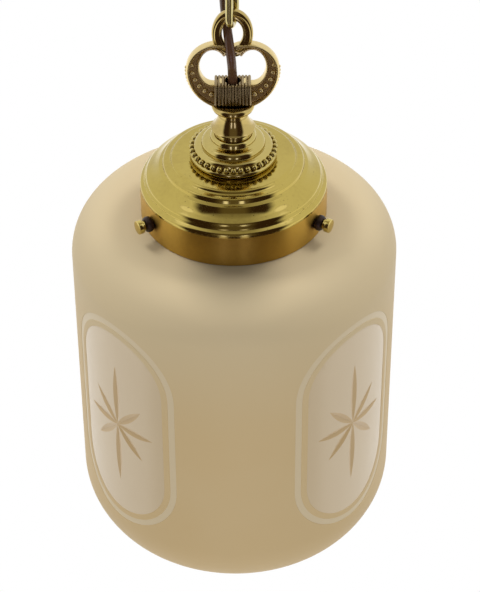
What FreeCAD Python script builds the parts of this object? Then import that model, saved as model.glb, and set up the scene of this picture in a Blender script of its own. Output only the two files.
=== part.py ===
"""Hanging lamp: an amber glass cylinder shade in a spun brass gallery, hung by a brass trefoil
and a short chain from a ceiling rose.

The origin is on the ceiling, at the middle of the ceiling plate, and +Z points up, so the whole
lamp hangs below zero. The lamp faces -Y. All sizes are in millimetres.

Each sub-part is drawn from its own foot upwards and lifted to its level by its placement.
Levels of the lamp are measured from the rim of the gallery, the lower edge of the brass band.
"""
import FreeCAD
import Part
import Sketcher
import math
import os

from FreeCAD import Placement, Rotation, Vector

SIZES = [
    # The hang, from the ceiling down
    ("rim_drop", 324.0, "ceiling down to the gallery rim"),
    ("link_pitch", 36.0, "one chain link to the next"),
    ("link_wire", 5.0, "wire of the chain and of the hook"),
    ("link_half", 8.0, "middle of the link to the middle of its leg"),
    ("link_gap", 0.2, "air where one link rests on another"),
    ("link_turn", 13.6, "turn of the lowest link about the plumb line, degrees"),
    ("hook_reach", 10.0, "middle of the hook's eye to the middle of its wire"),
    # Ceiling fitting
    ("plate_radius", 43.0, "ceiling plate"),
    ("plate_thick", 2.0, "ceiling plate"),
    ("plate_hole", 4.5, "screw hole across"),
    ("plate_hole_at", 30.0, "screw hole from the middle"),
    ("boss_radius", 5.5, "boss that takes the hook"),
    ("boss_height", 8.0, "boss below the plate"),
    ("rose_radius", 52.0, "ceiling rose at the ceiling"),
    ("rose_depth", 34.0, "ceiling rose"),
    ("rose_wall", 1.2, "spun brass of the rose"),
    ("rose_bore", 3.0, "hole of the rose for the hook's stem"),
    ("flex_hole", 5.15, "hole of the rose for the flex and its bush"),
    # Flex
    ("flex_width", 6.0, "round brown flex, across"),
    ("flex_aside", 9.5, "flex hole of the rose, to the left of the plumb line"),
    ("flex_behind", 8.5, "flex hole of the rose, behind the plumb line"),
    # Trefoil
    ("trefoil_foot", 65.9, "foot of the trefoil above the gallery rim"),
    ("foot_radius", 14.3, "flared foot"),
    ("knob_radius", 14.4, "round knob between foot and loops"),
    ("neck_radius", 9.0, "groove under the knob"),
    ("loop_radius", 30.0, "outer curve of the two lower loops"),
    ("lobe_radius", 20.4, "upper corners of the two lower loops"),
    ("loop_centre", 45.0, "middle of the lower loops above the foot"),
    ("loop_thick", 6.0, "loops, front to back"),
    ("eye_across", 7.0, "half width of a lower opening's end"),
    ("barrel_width", 23.6, "fluted barrel, left to right"),
    ("barrel_deep", 15.2, "fluted barrel, front to back"),
    ("barrel_foot", 19.0, "foot of the barrel above the foot of the trefoil"),
    ("barrel_top", 36.8, "top of the barrel above the foot of the trefoil"),
    ("flute_count", 11.0, "flutes across the barrel"),
    ("ring_centre", 72.5, "middle of the top ring above the foot of the trefoil"),
    ("ring_half_wide", 13.2, "top ring, outside"),
    ("ring_half_high", 17.4, "top ring, outside"),
    ("ring_bore_wide", 6.6, "top ring, half width of its hole"),
    ("ring_bore_high", 9.9, "top ring, half height of its hole"),
    ("flex_bore", 5.1, "hole in the barrel for the flex"),
    # Stepped cap
    ("cap_foot", 44.5, "foot of the cap above the gallery rim"),
    ("cap_radius", 27.2, "cap behind its lowest roll"),
    ("cap_bead", 1.9, "radius of a bead"),
    ("cap_bead_ring", 27.3, "beads from the axis"),
    ("cap_bead_level", 6.1, "beads above the foot of the cap"),
    ("cap_bead_count", 36.0, "beads round the cap"),
    # Gallery
    ("band_radius", 62.1, "satin band, outside"),
    ("band_height", 22.2, "satin band"),
    ("spun_wall", 1.2, "spun brass of the gallery"),
    ("deck_height", 44.2, "flat top of the gallery above its rim"),
    ("rod_radius", 5.0, "hollow threaded rod"),
    ("rod_bore", 3.7, "hollow threaded rod"),
    # Thumbscrews
    ("screw_level", 11.9, "thumbscrews above the gallery rim"),
    ("screw_radius", 2.0, "thread"),
    ("screw_tip", 57.3, "tip from the lamp's axis"),
    ("head_face", 73.0, "outer face of the head from the lamp's axis"),
    ("head_radius", 4.7, "head"),
    ("head_thick", 3.4, "head"),
    ("nut_radius", 5.0, "dark lock nut on the band"),
    ("nut_thick", 5.2, "dark lock nut on the band"),
    ("screw_count", 3.0, "thumbscrews round the band"),
    # Glass
    ("glass_radius", 110.0, "glass cylinder, outside"),
    ("glass_wall", 4.0, "glass"),
    ("shoulder_radius", 28.8, "round shoulder"),
    ("wall_top", 32.0, "top of the straight wall below the gallery rim"),
    ("wall_height", 184.7, "straight wall"),
    ("heel_radius", 51.0, "round lower edge"),
    ("dome_radius", 850.0, "closed, gently domed bottom"),
    ("neck_outside", 57.0, "glass neck inside the gallery"),
    ("neck_height", 18.3, "lip of the glass above the gallery rim"),
    ("panel_level", 126.2, "middle of a panel below the gallery rim"),
    ("panel_half_wide", 39.5, "polished panel"),
    ("panel_half_high", 79.5, "polished panel"),
    ("line_gap", 4.0, "satin line round a panel"),
    ("line_width", 5.2, "polished line outside it"),
    ("panel_depth", 0.25, "panels and lines below the satin skin"),
    ("star_depth", 0.7, "cut spikes of a star"),
    ("star_tall", 53.0, "upright spikes"),
    ("star_short", 32.0, "the other spikes"),
    ("star_wide", 6.4, "a spike at its widest"),
    ("panel_turn_1", -47.1, "left panel, turned from the front, degrees"),
    ("panel_turn_2", 46.5, "right panel, turned from the front, degrees"),
    ("panel_turn_3", 135.3, "back right panel, turned from the front, degrees"),
    ("panel_turn_4", 224.1, "back left panel, turned from the front, degrees"),
    # Lampholder and bulb
    ("holder_radius", 19.0, "lampholder"),
    ("holder_top", 34.0, "top of the lampholder above the gallery rim"),
    ("holder_height", 50.0, "lampholder"),
    ("thread_radius", 13.6, "brass sleeve of the lampholder, inside"),
    ("bulb_radius", 30.0, "bulb"),
    ("bulb_cap_radius", 13.1, "bulb cap"),
    ("bulb_length", 104.0, "bulb"),
    ("bulb_top", 8.2, "contact of the bulb above the gallery rim"),
]

doc = FreeCAD.newDocument("HangingLamp")
sheet = doc.addObject("Spreadsheet::Sheet", "Sizes")
VALUES = {}
for row, (alias, number, meaning) in enumerate(SIZES, start=1):
    sheet.set("A%d" % row, meaning)
    sheet.set("B%d" % row, str(number))
    sheet.setAlias("B%d" % row, alias)
    VALUES[alias] = number
doc.recompute()

SUB_PARTS = []


class Dim:
    """A length that knows both its value and the expression that it comes from."""

    def __init__(self, value, text):
        self.value = value
        self.text = text

    def __add__(self, other):
        other = dim(other)
        return Dim(self.value + other.value, "(%s + %s)" % (self.text, other.text))

    def __sub__(self, other):
        other = dim(other)
        return Dim(self.value - other.value, "(%s - %s)" % (self.text, other.text))

    def __mul__(self, other):
        other = dim(other)
        return Dim(self.value * other.value, "(%s * %s)" % (self.text, other.text))

    def __truediv__(self, other):
        other = dim(other)
        return Dim(self.value / other.value, "(%s / %s)" % (self.text, other.text))

    def __radd__(self, other):
        return dim(other) + self

    def __rsub__(self, other):
        return dim(other) - self

    def __rmul__(self, other):
        return dim(other) * self

    def __neg__(self):
        return dim(0) - self


def dim(value):
    """Takes a plain number as a length."""
    if isinstance(value, Dim):
        return value
    return Dim(float(value), repr(float(value)))


def size(alias):
    """The length in the sheet's cell of that name."""
    return Dim(float(VALUES[alias]), "Sizes." + alias)


def bind(thing, **lengths):
    """Binds properties of an object to expressions."""
    for name, length in lengths.items():
        thing.setExpression(name, dim(length).text)


def lift(thing, level):
    """Sets the level of an object."""
    thing.Placement.Base.z = dim(level).value
    thing.setExpression("Placement.Base.z", dim(level).text)


def keep(thing, label):
    """Names a finished sub-part."""
    thing.Label = label
    SUB_PARTS.append(thing)
    return thing


def plane(body, role):
    """One of a body's own origin planes."""
    for feature in body.Origin.OriginFeatures:
        if feature.Role == role:
            return feature
    raise ValueError("no plane " + role)


RIM = -size("rim_drop")
FOOT = RIM + size("trefoil_foot")
CAP = RIM + size("cap_foot")


# Turned pieces

def arc_between(start, end, bend):
    """An arc from start to end. A positive bend turns left on the way, a negative one right."""
    chord = end - start
    half = chord.Length / 2
    reach = math.sqrt(max(bend * bend - half * half, 0.0))
    left = Vector(-chord.y, chord.x, 0).normalize()
    side = 1 if bend > 0 else -1
    middle = (start + end) * 0.5 + left * (reach * side)
    circle = Part.Circle(middle, Vector(0, 0, 1), abs(bend))
    first = math.atan2(start.y - middle.y, start.x - middle.x)
    last = math.atan2(end.y - middle.y, end.x - middle.x)
    if side > 0:
        return Part.ArcOfCircle(circle, first, last), (1, 2)
    return Part.ArcOfCircle(circle, last, first), (2, 1)


def draw(sketch, outline):
    """Draws a closed outline, with every corner and radius bound to an expression.

    Each corner is (across, up) or (across, up, bend), where bend is the radius of the arc that
    leads to it.
    """
    count = len(outline)
    ends = []
    for index, corner in enumerate(outline):
        following = outline[(index + 1) % count]
        start = Vector(dim(corner[0]).value, dim(corner[1]).value, 0)
        end = Vector(dim(following[0]).value, dim(following[1]).value, 0)
        if len(following) > 2:
            shape, tips = arc_between(start, end, dim(following[2]).value)
        else:
            shape = Part.LineSegment(start, end)
            tips = (1, 2)
        sketch.addGeometry(shape, False)
        ends.append(tips)
    for index, corner in enumerate(outline):
        following = (index + 1) % count
        sketch.addConstraint(Sketcher.Constraint(
            "Coincident", index, ends[index][1], following, ends[following][0]))
        fix(sketch, "DistanceX", index, ends[index][0], dim(corner[0]), -2)
        fix(sketch, "DistanceY", index, ends[index][0], dim(corner[1]), -1)
        if len(outline[following]) > 2:
            radius = dim(outline[following][2])
            if radius.value < 0:
                radius = -radius
            number = sketch.addConstraint(Sketcher.Constraint("Radius", index, radius.value))
            sketch.setExpression("Constraints[%d]" % number, radius.text)


def fix(sketch, kind, line, tip, length, axis):
    """Holds a corner at its distance from the sketch's origin, or on the axis."""
    if length.value == 0:
        sketch.addConstraint(Sketcher.Constraint("PointOnObject", line, tip, axis))
        return
    number = sketch.addConstraint(Sketcher.Constraint(kind, -1, 1, line, tip, length.value))
    sketch.setExpression("Constraints[%d]" % number, length.text)


def turned(label, level, outline):
    """A body turned about its upright axis from a closed outline of (radius, height) corners."""
    body = doc.addObject("PartDesign::Body", "Body_" + label)
    sketch = body.newObject("Sketcher::SketchObject", "Outline_" + label)
    sketch.AttachmentSupport = [(plane(body, "XZ_Plane"), "")]
    sketch.MapMode = "FlatFace"
    draw(sketch, outline)
    turn = body.newObject("PartDesign::Revolution", "Turn_" + label)
    turn.Profile = sketch
    turn.ReferenceAxis = (sketch, ["V_Axis"])
    turn.Angle = 360.0
    body.Tip = turn
    lift(body, level)
    return body


def tube(label, level, outer, inner, height):
    """A plain turned tube."""
    return turned(label, level, [(inner, 0), (outer, 0), (outer, height), (inner, height)])


# Ceiling fitting

def ceiling_plate():
    """Round plate with two screw holes and a boss for the hook."""
    body = doc.addObject("PartDesign::Body", "Body_ceiling_plate")
    disc = body.newObject("Sketcher::SketchObject", "Disc")
    disc.AttachmentSupport = [(plane(body, "XY_Plane"), "")]
    disc.MapMode = "FlatFace"
    disc.addGeometry(Part.Circle(Vector(0, 0, 0), Vector(0, 0, 1), VALUES["plate_radius"]), False)
    disc.addConstraint(Sketcher.Constraint("Coincident", 0, 3, -1, 1))
    number = disc.addConstraint(Sketcher.Constraint("Radius", 0, VALUES["plate_radius"]))
    disc.setExpression("Constraints[%d]" % number, "Sizes.plate_radius")
    pad = body.newObject("PartDesign::Pad", "Plate")
    pad.Profile = disc
    pad.Reversed = True
    pad.Length = VALUES["plate_thick"]
    bind(pad, Length=size("plate_thick"))
    boss_ring = body.newObject("Sketcher::SketchObject", "BossRing")
    boss_ring.AttachmentSupport = [(plane(body, "XY_Plane"), "")]
    boss_ring.MapMode = "FlatFace"
    boss_ring.addGeometry(Part.Circle(Vector(0, 0, 0), Vector(0, 0, 1), VALUES["boss_radius"]),
                          False)
    boss_ring.addConstraint(Sketcher.Constraint("Coincident", 0, 3, -1, 1))
    number = boss_ring.addConstraint(Sketcher.Constraint("Radius", 0, VALUES["boss_radius"]))
    boss_ring.setExpression("Constraints[%d]" % number, "Sizes.boss_radius")
    boss = body.newObject("PartDesign::Pad", "Boss")
    boss.Profile = boss_ring
    boss.Reversed = True
    boss.Length = VALUES["plate_thick"] + VALUES["boss_height"]
    bind(boss, Length=size("plate_thick") + size("boss_height"))
    holes = body.newObject("Sketcher::SketchObject", "ScrewHoles")
    holes.AttachmentSupport = [(plane(body, "XY_Plane"), "")]
    holes.MapMode = "FlatFace"
    for number, side in enumerate((-1, 1)):
        middle = Vector(0, side * VALUES["plate_hole_at"], 0)
        holes.addGeometry(Part.Circle(middle, Vector(0, 0, 1), VALUES["plate_hole"] / 2), False)
        holes.addConstraint(Sketcher.Constraint("PointOnObject", number, 3, -2))
        start, end = ((number, 3), (-1, 1)) if side < 0 else ((-1, 1), (number, 3))
        place = holes.addConstraint(Sketcher.Constraint(
            "DistanceY", start[0], start[1], end[0], end[1], VALUES["plate_hole_at"]))
        holes.setExpression("Constraints[%d]" % place, "Sizes.plate_hole_at")
        width = holes.addConstraint(Sketcher.Constraint("Diameter", number, VALUES["plate_hole"]))
        holes.setExpression("Constraints[%d]" % width, "Sizes.plate_hole")
    pocket = body.newObject("PartDesign::Pocket", "Drill")
    pocket.Profile = holes
    pocket.Type = 1
    pocket.Reversed = False
    pocket.Midplane = True
    body.Tip = pocket
    drill = doc.addObject("Part::Cylinder", "HookHole")
    bind(drill, Radius=size("link_wire") / 2 - 0.05, Height=size("boss_height"))
    lift(drill, -size("plate_thick") - size("boss_height") - 0.5)
    cut = doc.addObject("Part::Cut", "DrilledPlate")
    cut.Base = body
    cut.Tool = drill
    return keep(cut, "ceiling_plate")


def ceiling_rose():
    """Spun cover against the ceiling, with a hole for the stem and one for the flex."""
    radius = size("rose_radius")
    depth = size("rose_depth")
    wall = size("rose_wall")
    level = -depth
    shell = turned("rose_shell", level, [
        (0, 0),
        (20, 0),
        (radius - 3, depth - 9, 48),
        (radius - 3, depth - 3),
        (radius, depth - 1.5, 2.2),
        (radius - 0.8, depth),
        (radius - 3 - wall, depth),
        (radius - 3 - wall, depth - 9),
        (20 - wall / 2, wall, -(48 - wall)),
        (0, wall),
    ])
    drill = doc.addObject("Part::Cylinder", "RoseBore")
    drill.Placement.Base = Vector(0, 0, (level - 2).value)
    bind(drill, Radius=size("rose_bore"), Height=8)
    flex = doc.addObject("Part::Cylinder", "RoseFlexHole")
    flex.Placement.Base = Vector(-VALUES["flex_aside"], VALUES["flex_behind"], (level - 2).value)
    bind(flex, Radius=size("flex_hole"), Height=10)
    both = doc.addObject("Part::MultiFuse", "RoseDrills")
    both.Shapes = [drill, flex]
    cut = doc.addObject("Part::Cut", "Rose")
    cut.Base = shell
    cut.Tool = both
    return keep(cut, "ceiling_rose")


def hook():
    """Open ceiling hook with a threaded stem."""
    reach = size("hook_reach")
    wire = size("link_wire") / 2
    level = hinge_level(3) + reach
    eye = doc.addObject("Part::Torus", "HookEye")
    bind(eye, Radius1=reach, Radius2=wire)
    eye.Angle3 = 300
    eye.Placement = Placement(Vector(0, 0, 0), Rotation(Vector(1, 0, 0), 90))
    turn = Rotation(Vector(0, 1, 0), -150)
    eye.Placement = Placement(Vector(0, 0, level.value), turn * Rotation(Vector(1, 0, 0), 90))
    bind(eye, **{"Placement.Base.z": level})
    tip = doc.addObject("Part::Sphere", "HookTip")
    bind(tip, Radius=wire)
    angle = math.radians(150)
    tip.Placement.Base = Vector(reach.value * math.cos(angle), 0, 0)
    bind(tip, **{"Placement.Base.z": level + reach * math.sin(angle)})
    tip.setExpression("Placement.Base.x", (reach * math.cos(angle)).text)
    stem = doc.addObject("Part::Cylinder", "HookStem")
    foot = level + reach - 0.8
    lift(stem, foot)
    bind(stem, Radius=wire - 0.1, Height=-foot - 3)
    fuse = doc.addObject("Part::MultiFuse", "Hook")
    fuse.Shapes = [eye, tip, stem]
    return keep(fuse, "ceiling_hook")


def hinge_level(number):
    """Level of the bar that a hanging piece rests on: 0 carries the trefoil, 3 is the hook's."""
    bar = (FOOT + size("ring_centre") + size("ring_bore_high") - size("link_gap")
           - size("link_wire") / 2)
    return bar + size("link_pitch") * number


def rose_collar():
    """Collar on the stem that holds the rose up, with its grub screw."""
    level = -size("rose_depth") - 6.3
    collar = tube("rose_collar", level, 5.6, size("link_wire") / 2 + 0.1, 6.2)
    keep(collar, "rose_collar")
    screw = doc.addObject("Part::Cylinder", "GrubScrew")
    screw.Placement = Placement(Vector(5.7, 0, (level + 3.1).value),
                                Rotation(Vector(0, 1, 0), 90))
    bind(screw, Radius=2, Height=2.6)
    screw.setExpression("Placement.Base.z", (level + 3.1).text)
    keep(screw, "rose_grub_screw")


def terminal_block():
    """Wiring block under the ceiling plate, over the flex hole, with its two clamp screws."""
    plate = size("plate_thick")
    height = 13.0
    block = doc.addObject("Part::Box", "Block")
    bind(block, Length=20, Width=16, Height=height)
    block.Placement.Base = Vector(4.9 - VALUES["flex_aside"] - 20, VALUES["flex_behind"] - 4.9, 0)
    lift(block, -plate - height)
    well = doc.addObject("Part::Cylinder", "BlockWell")
    bind(well, Radius=size("flex_width") / 2 + 0.6, Height=6)
    well.Placement.Base = Vector(-VALUES["flex_aside"], VALUES["flex_behind"], 0)
    lift(well, -plate - height - 1)
    shaped = doc.addObject("Part::Cut", "ShapedBlock")
    shaped.Base = block
    shaped.Tool = well
    keep(shaped, "terminal_block")
    for number in range(2):
        clamp = doc.addObject("Part::Cylinder", "Clamp%d" % number)
        bind(clamp, Radius=2, Height=1.4)
        clamp.Placement.Base = Vector(-VALUES["flex_aside"] - 9,
                                      VALUES["flex_behind"] - 1 + 8 * number, 0)
        lift(clamp, -plate - height - 1.4)
        keep(clamp, "clamp_screw_%d" % (number + 1))


def rose_bush():
    """Black bush that lines the flex hole of the rose."""
    level = -size("rose_depth") - 1.2
    bush = turned("flex_bush", level, [
        (3.3, 0),
        (6.2, 0),
        (6.2, 1.1),
        (size("flex_hole") - 0.1, 1.1),
        (size("flex_hole") - 0.1, 4.4),
        (3.3, 4.4),
    ])
    bush.Placement.Base = Vector(-VALUES["flex_aside"], VALUES["flex_behind"], level.value)
    bush.setExpression("Placement.Base.x", (-size("flex_aside")).text)
    bush.setExpression("Placement.Base.y", size("flex_behind").text)
    return keep(bush, "flex_bush")


# Chain

def chain_link(number, turn):
    """One wire link whose lower bar lies at its hinge, turned about the plumb line."""
    wire = size("link_wire") / 2
    half = size("link_half")
    straight = size("link_pitch") + size("link_wire") + size("link_gap") - half * 2
    pieces = []
    for name, tilt, level in (("Lower", -90, dim(0)), ("Upper", 90, straight)):
        bend = doc.addObject("Part::Torus", "%sBend%d" % (name, number))
        bend.Angle3 = 180
        bind(bend, Radius1=half, Radius2=wire)
        bend.Placement = Placement(Vector(0, 0, 0), Rotation(Vector(1, 0, 0), tilt))
        lift(bend, level)
        pieces.append(bend)
    for side in (-1, 1):
        leg = doc.addObject("Part::Cylinder", "Leg%d_%d" % (number, side + 1))
        bind(leg, Radius=wire, Height=straight)
        leg.Placement.Base = Vector(side * half.value, 0, 0)
        leg.setExpression("Placement.Base.x", (half * side).text)
        pieces.append(leg)
    link = doc.addObject("Part::MultiFuse", "Link%d" % number)
    link.Shapes = pieces
    link.Placement = Placement(Vector(0, 0, 0), Rotation(Vector(0, 0, 1), turn))
    lift(link, hinge_level(number - 1) + half)
    return keep(link, "chain_link_%d" % number)


# Flex

def runs_and_arcs(points, divided):
    """A smooth path through runs joined by tangent arcs as large as the runs allow.

    An end that is divided from the next stretch lies half way along its run.
    """
    lengths = [(after - before).Length for before, after in zip(points, points[1:])]
    lengths[0] *= 2 if divided[0] else 1
    lengths[-1] *= 2 if divided[1] else 1
    edges = []
    radii = []
    here = points[0]
    for index, (before, corner, after) in enumerate(zip(points, points[1:], points[2:])):
        back = before - corner
        ahead = after - corner
        turn = math.pi - back.getAngle(ahead)
        setback = 0.45 * min(lengths[index], lengths[index + 1])
        radii.append(setback / math.tan(turn / 2))
        start = corner + back.normalize() * setback
        end = corner + ahead.normalize() * setback
        bisector = (back + ahead).normalize()
        depth = radii[-1] * (1 / math.cos(turn / 2) - 1)
        edges.append(Part.LineSegment(here, start).toShape())
        edges.append(Part.Arc(start, corner + bisector * depth, end).toShape())
        here = end
    edges.append(Part.LineSegment(here, points[-1]).toShape())
    return Part.Wire(edges), radii


def flex_route():
    """The flex from the trefoil's barrel, through its top ring and up behind the chain.

    Heights are above the foot of the trefoil.
    """
    foot = FOOT.value
    route = [
        (0.0, 0.0, 27.0),
        (0.0, -0.4, 39.0),
        (-0.8, -10.0, 60.0),
        (-4.4, 9.6, 79.5),
        (-5.6, 8.4, 101.0),
        (-6.9, 9.5, 124.0),
        (-5.9, 8.3, 147.0),
        (-7.3, 9.4, 170.0),
        (-6.9, 8.3, 193.0),
        (-9.4, 8.6, 214.0),
        (-9.6, 8.4, 231.0),
        (-9.5, 8.5, 246.5),
    ]
    return [Vector(x, y, z + foot) for x, y, z in route]


def flex_cuts(route):
    """Where the flex divides: half way along a run, between one hinge and the next."""
    return [(route[first] + route[first + 1]) * 0.5 for first in (3, 5, 7)]


def flex_pieces():
    """The free flex in four stretches, one across each hinge of the chain."""
    route = flex_route()
    cuts = flex_cuts(route)
    stretches = [
        route[:4] + [cuts[0]],
        [cuts[0]] + route[4:6] + [cuts[1]],
        [cuts[1]] + route[6:8] + [cuts[2]],
        [cuts[2]] + route[8:],
    ]
    width = VALUES["flex_width"]
    for number, points in enumerate(stretches, start=1):
        path, radii = runs_and_arcs(points, (number > 1, number < len(stretches)))
        start = points[0]
        direction = points[1] - points[0]
        circle = Part.makeCircle(width / 2, start, direction)
        solid = path.makePipeShell([Part.Wire([circle])], True, False, 2)
        expected = math.pi * width ** 2 / 4 * path.Length
        print("flex stretch", number, "length %.1f mm" % path.Length,
              "radii", ["%.0f" % radius for radius in radii],
              "volume ratio %.4f" % (solid.Volume / expected))
        piece = doc.addObject("Part::Feature", "Flex%d" % number)
        piece.Shape = solid
        keep(piece, "flex_stretch_%d" % number)


# Trefoil

def slab(shape, thick):
    """Extrudes an upright face front to back, about the middle plane."""
    return Part.Face(shape).extrude(Vector(0, thick, 0))


def upright_ellipse(x, z, half_wide, half_high, front):
    """An ellipse in an upright plane."""
    middle = Vector(x, front, z)
    if half_high >= half_wide:
        curve = Part.Ellipse(middle + Vector(0, 0, half_high), middle + Vector(half_wide, 0, 0),
                             middle)
    else:
        curve = Part.Ellipse(middle + Vector(half_wide, 0, 0), middle + Vector(0, 0, half_high),
                             middle)
    return Part.Wire([curve.toShape()])


def disc(x, z, radius, thick):
    """An upright disc, front to back about the middle plane."""
    return Part.makeCylinder(radius, thick, Vector(x, -thick / 2, z), Vector(0, 1, 0))


def oval(x, z, half_wide, half_high, thick):
    """An upright oval slab."""
    return slab(upright_ellipse(x, z, half_wide, half_high, -thick / 2), thick)


def block(x0, x1, z0, z1, thick):
    """An upright slab with square corners."""
    return Part.makeBox(x1 - x0, thick, z1 - z0, Vector(x0, -thick / 2, z0))


def loops(shrink, thick):
    """The filled outline of the two lower loops, drawn in by an amount."""
    middle = VALUES["loop_centre"]
    wide = VALUES["loop_radius"]
    lobe = VALUES["lobe_radius"]
    low = disc(0, middle, wide - shrink, thick)
    low = low.cut(block(-wide, wide, middle, middle + wide, thick + 2))
    left = disc(lobe - wide, middle, lobe - shrink, thick)
    right = disc(wide - lobe, middle, lobe - shrink, thick)
    return low.fuse([left, right])


def loops_opening(grow, thick):
    """The opening of the two lower loops, which meet behind the flex."""
    middle = VALUES["loop_centre"] + 3.2
    left = oval(-12.6, middle, 8.6 + grow, 13.0 + grow, thick)
    right = oval(12.6, middle, 8.6 + grow, 13.0 + grow, thick)
    between = block(-12.6, 12.6, middle - 12.6 - grow, 56.0 + grow, thick)
    return left.fuse([right, between])


def top_ring():
    """The ring that the chain carries, with two fine ridges on each face."""
    z = VALUES["ring_centre"]
    wide = VALUES["ring_half_wide"]
    high = VALUES["ring_half_high"]
    bore_wide = VALUES["ring_bore_wide"]
    bore_high = VALUES["ring_bore_high"]
    thick = 5.6
    ring = oval(0, z, wide, high, thick)
    ring = ring.cut(oval(0, z, bore_wide, bore_high, thick + 2))
    rounded = ring.makeFillet(2.4, [edge for edge in ring.Edges if len(edge.Vertexes) < 2
                                    or edge.Length > 20])
    ridges = []
    for share in (0.34, 0.68):
        a = bore_wide + (wide - bore_wide) * share
        b = bore_high + (high - bore_high) * share
        for side in (-1, 1):
            spine = upright_ellipse(0, z, a, b, side * 2.6)
            section = Part.makeCircle(0.75, Vector(0, side * 2.6, z + b), Vector(1, 0, 0))
            ridges.append(spine.makePipeShell([Part.Wire([section])], True, False))
    return rounded.fuse(ridges)


def bead_places():
    """Beads that lie in the channel of a loop, as (angle, from the middle, radius)."""
    places = []
    for number in range(7):
        angle = 22.5 - 12.4 * number
        places.append((angle, 25.9 + 0.07 * angle, 1.35 + 0.11 * number))
    return places


def trefoil():
    """Cast brass piece of two lower loops, a fluted barrel, a knob and a foot, and a top ring."""
    thick = VALUES["loop_thick"]
    middle = VALUES["loop_centre"]
    body = loops(0, thick)
    channel = loops(2.0, thick).cut(loops_opening(1.4, thick + 2))
    sunk = 0.9
    for side in (-1, 1):
        tool = channel.copy()
        tool.translate(Vector(0, side * (thick - sunk), 0))
        body = body.cut(tool)
    body = body.cut(loops_opening(0, thick + 2))
    body = body.cut(oval(0, VALUES["ring_centre"], VALUES["ring_bore_wide"] + 2.0,
                         VALUES["ring_bore_high"] + 1.4, thick + 2))
    solids = []
    for angle, reach, radius in bead_places():
        for mirror in (-1, 1):
            turn = math.radians(angle)
            x = mirror * reach * math.cos(turn)
            z = middle + reach * math.sin(turn)
            for side in (-1, 1):
                solids.append(Part.makeSphere(radius, Vector(x, side * (thick / 2 - sunk), z)))
    for number in range(13):
        turn = math.radians(4 - 5.0 * number)
        for mirror in (-1, 1):
            x = mirror * (VALUES["loop_radius"] - 0.35) * math.cos(turn)
            z = middle + (VALUES["loop_radius"] - 0.35) * math.sin(turn)
            solids.append(Part.makeSphere(1.15, Vector(x, 0, z), Vector(0, 1, 0)))
    solids.append(barrel())
    solids.append(foot_and_knob())
    solids.append(top_ring())
    body = body.fuse(solids)
    body = body.cut(bores())
    piece = doc.addObject("Part::Feature", "Trefoil")
    piece.Shape = body
    lift(piece, FOOT)
    return keep(piece, "trefoil")


def barrel():
    """The fluted barrel: a core with one rounded rib for each flute."""
    wide = VALUES["barrel_width"]
    deep = VALUES["barrel_deep"]
    low = VALUES["barrel_foot"]
    top = VALUES["barrel_top"]
    count = int(VALUES["flute_count"])
    pitch = wide / count
    core = block(-wide / 2 + 0.6, wide / 2 - 0.6, low, top - 0.7, deep - 1.4)
    ribs = []
    for number in range(count):
        left = -wide / 2 + pitch * number + 0.2
        rib = block(left, left + pitch - 0.4, low, top, deep)
        edges = [edge for edge in rib.Edges
                 if abs(edge.CenterOfMass.x - left) < 0.01
                 or abs(edge.CenterOfMass.x - left - pitch + 0.4) < 0.01]
        edges = [edge for edge in edges if edge.CenterOfMass.z > low + 0.1]
        ribs.append(rib.makeFillet(0.7, edges))
    return core.fuse(ribs)


def foot_and_knob():
    """The turned lower end of the trefoil: flared foot, groove and round knob."""
    foot = VALUES["foot_radius"]
    neck = VALUES["neck_radius"]
    knob = VALUES["knob_radius"]
    corners = [
        Vector(0, 0, 0),
        Vector(foot - 0.4, 0, 0),
        Vector(foot, 0, 0.5),
        Vector(foot, 0, 1.2),
        Vector(foot - 1.1, 0, 2.2),
    ]
    edges = [Part.LineSegment(a, b).toShape() for a, b in zip(corners, corners[1:])]
    flare_top = Vector(neck + 0.8, 0, 9.8)
    edges.append(Part.Arc(corners[-1], Vector(11.1, 0, 5.8), flare_top).toShape())
    after = [flare_top, Vector(neck + 0.8, 0, 10.4), Vector(neck, 0, 11.0), Vector(neck, 0, 14.2),
             Vector(knob - 2.6, 0, 15.0)]
    edges += [Part.LineSegment(a, b).toShape() for a, b in zip(after, after[1:])]
    knob_top = Vector(knob - 2.6, 0, 20.2)
    edges.append(Part.Arc(after[-1], Vector(knob, 0, 17.6), knob_top).toShape())
    closing = [knob_top, Vector(0, 0, 20.2), Vector(0, 0, 0)]
    edges += [Part.LineSegment(a, b).toShape() for a, b in zip(closing, closing[1:])]
    return Part.Face(Part.Wire(edges)).revolve(Vector(0, 0, 0), Vector(0, 0, 1), 360)


def bores():
    """The way down through the trefoil for the flex and the rod."""
    flex = Part.makeCylinder(VALUES["flex_bore"], 30, Vector(0, 0, 22))
    rod = Part.makeCylinder(VALUES["rod_radius"] + 0.05, 15, Vector(0, 0, -1))
    passage = Part.makeCylinder(VALUES["rod_bore"], 12, Vector(0, 0, 12))
    return flex.fuse([rod, passage])


# Cap, gallery and rod

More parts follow.
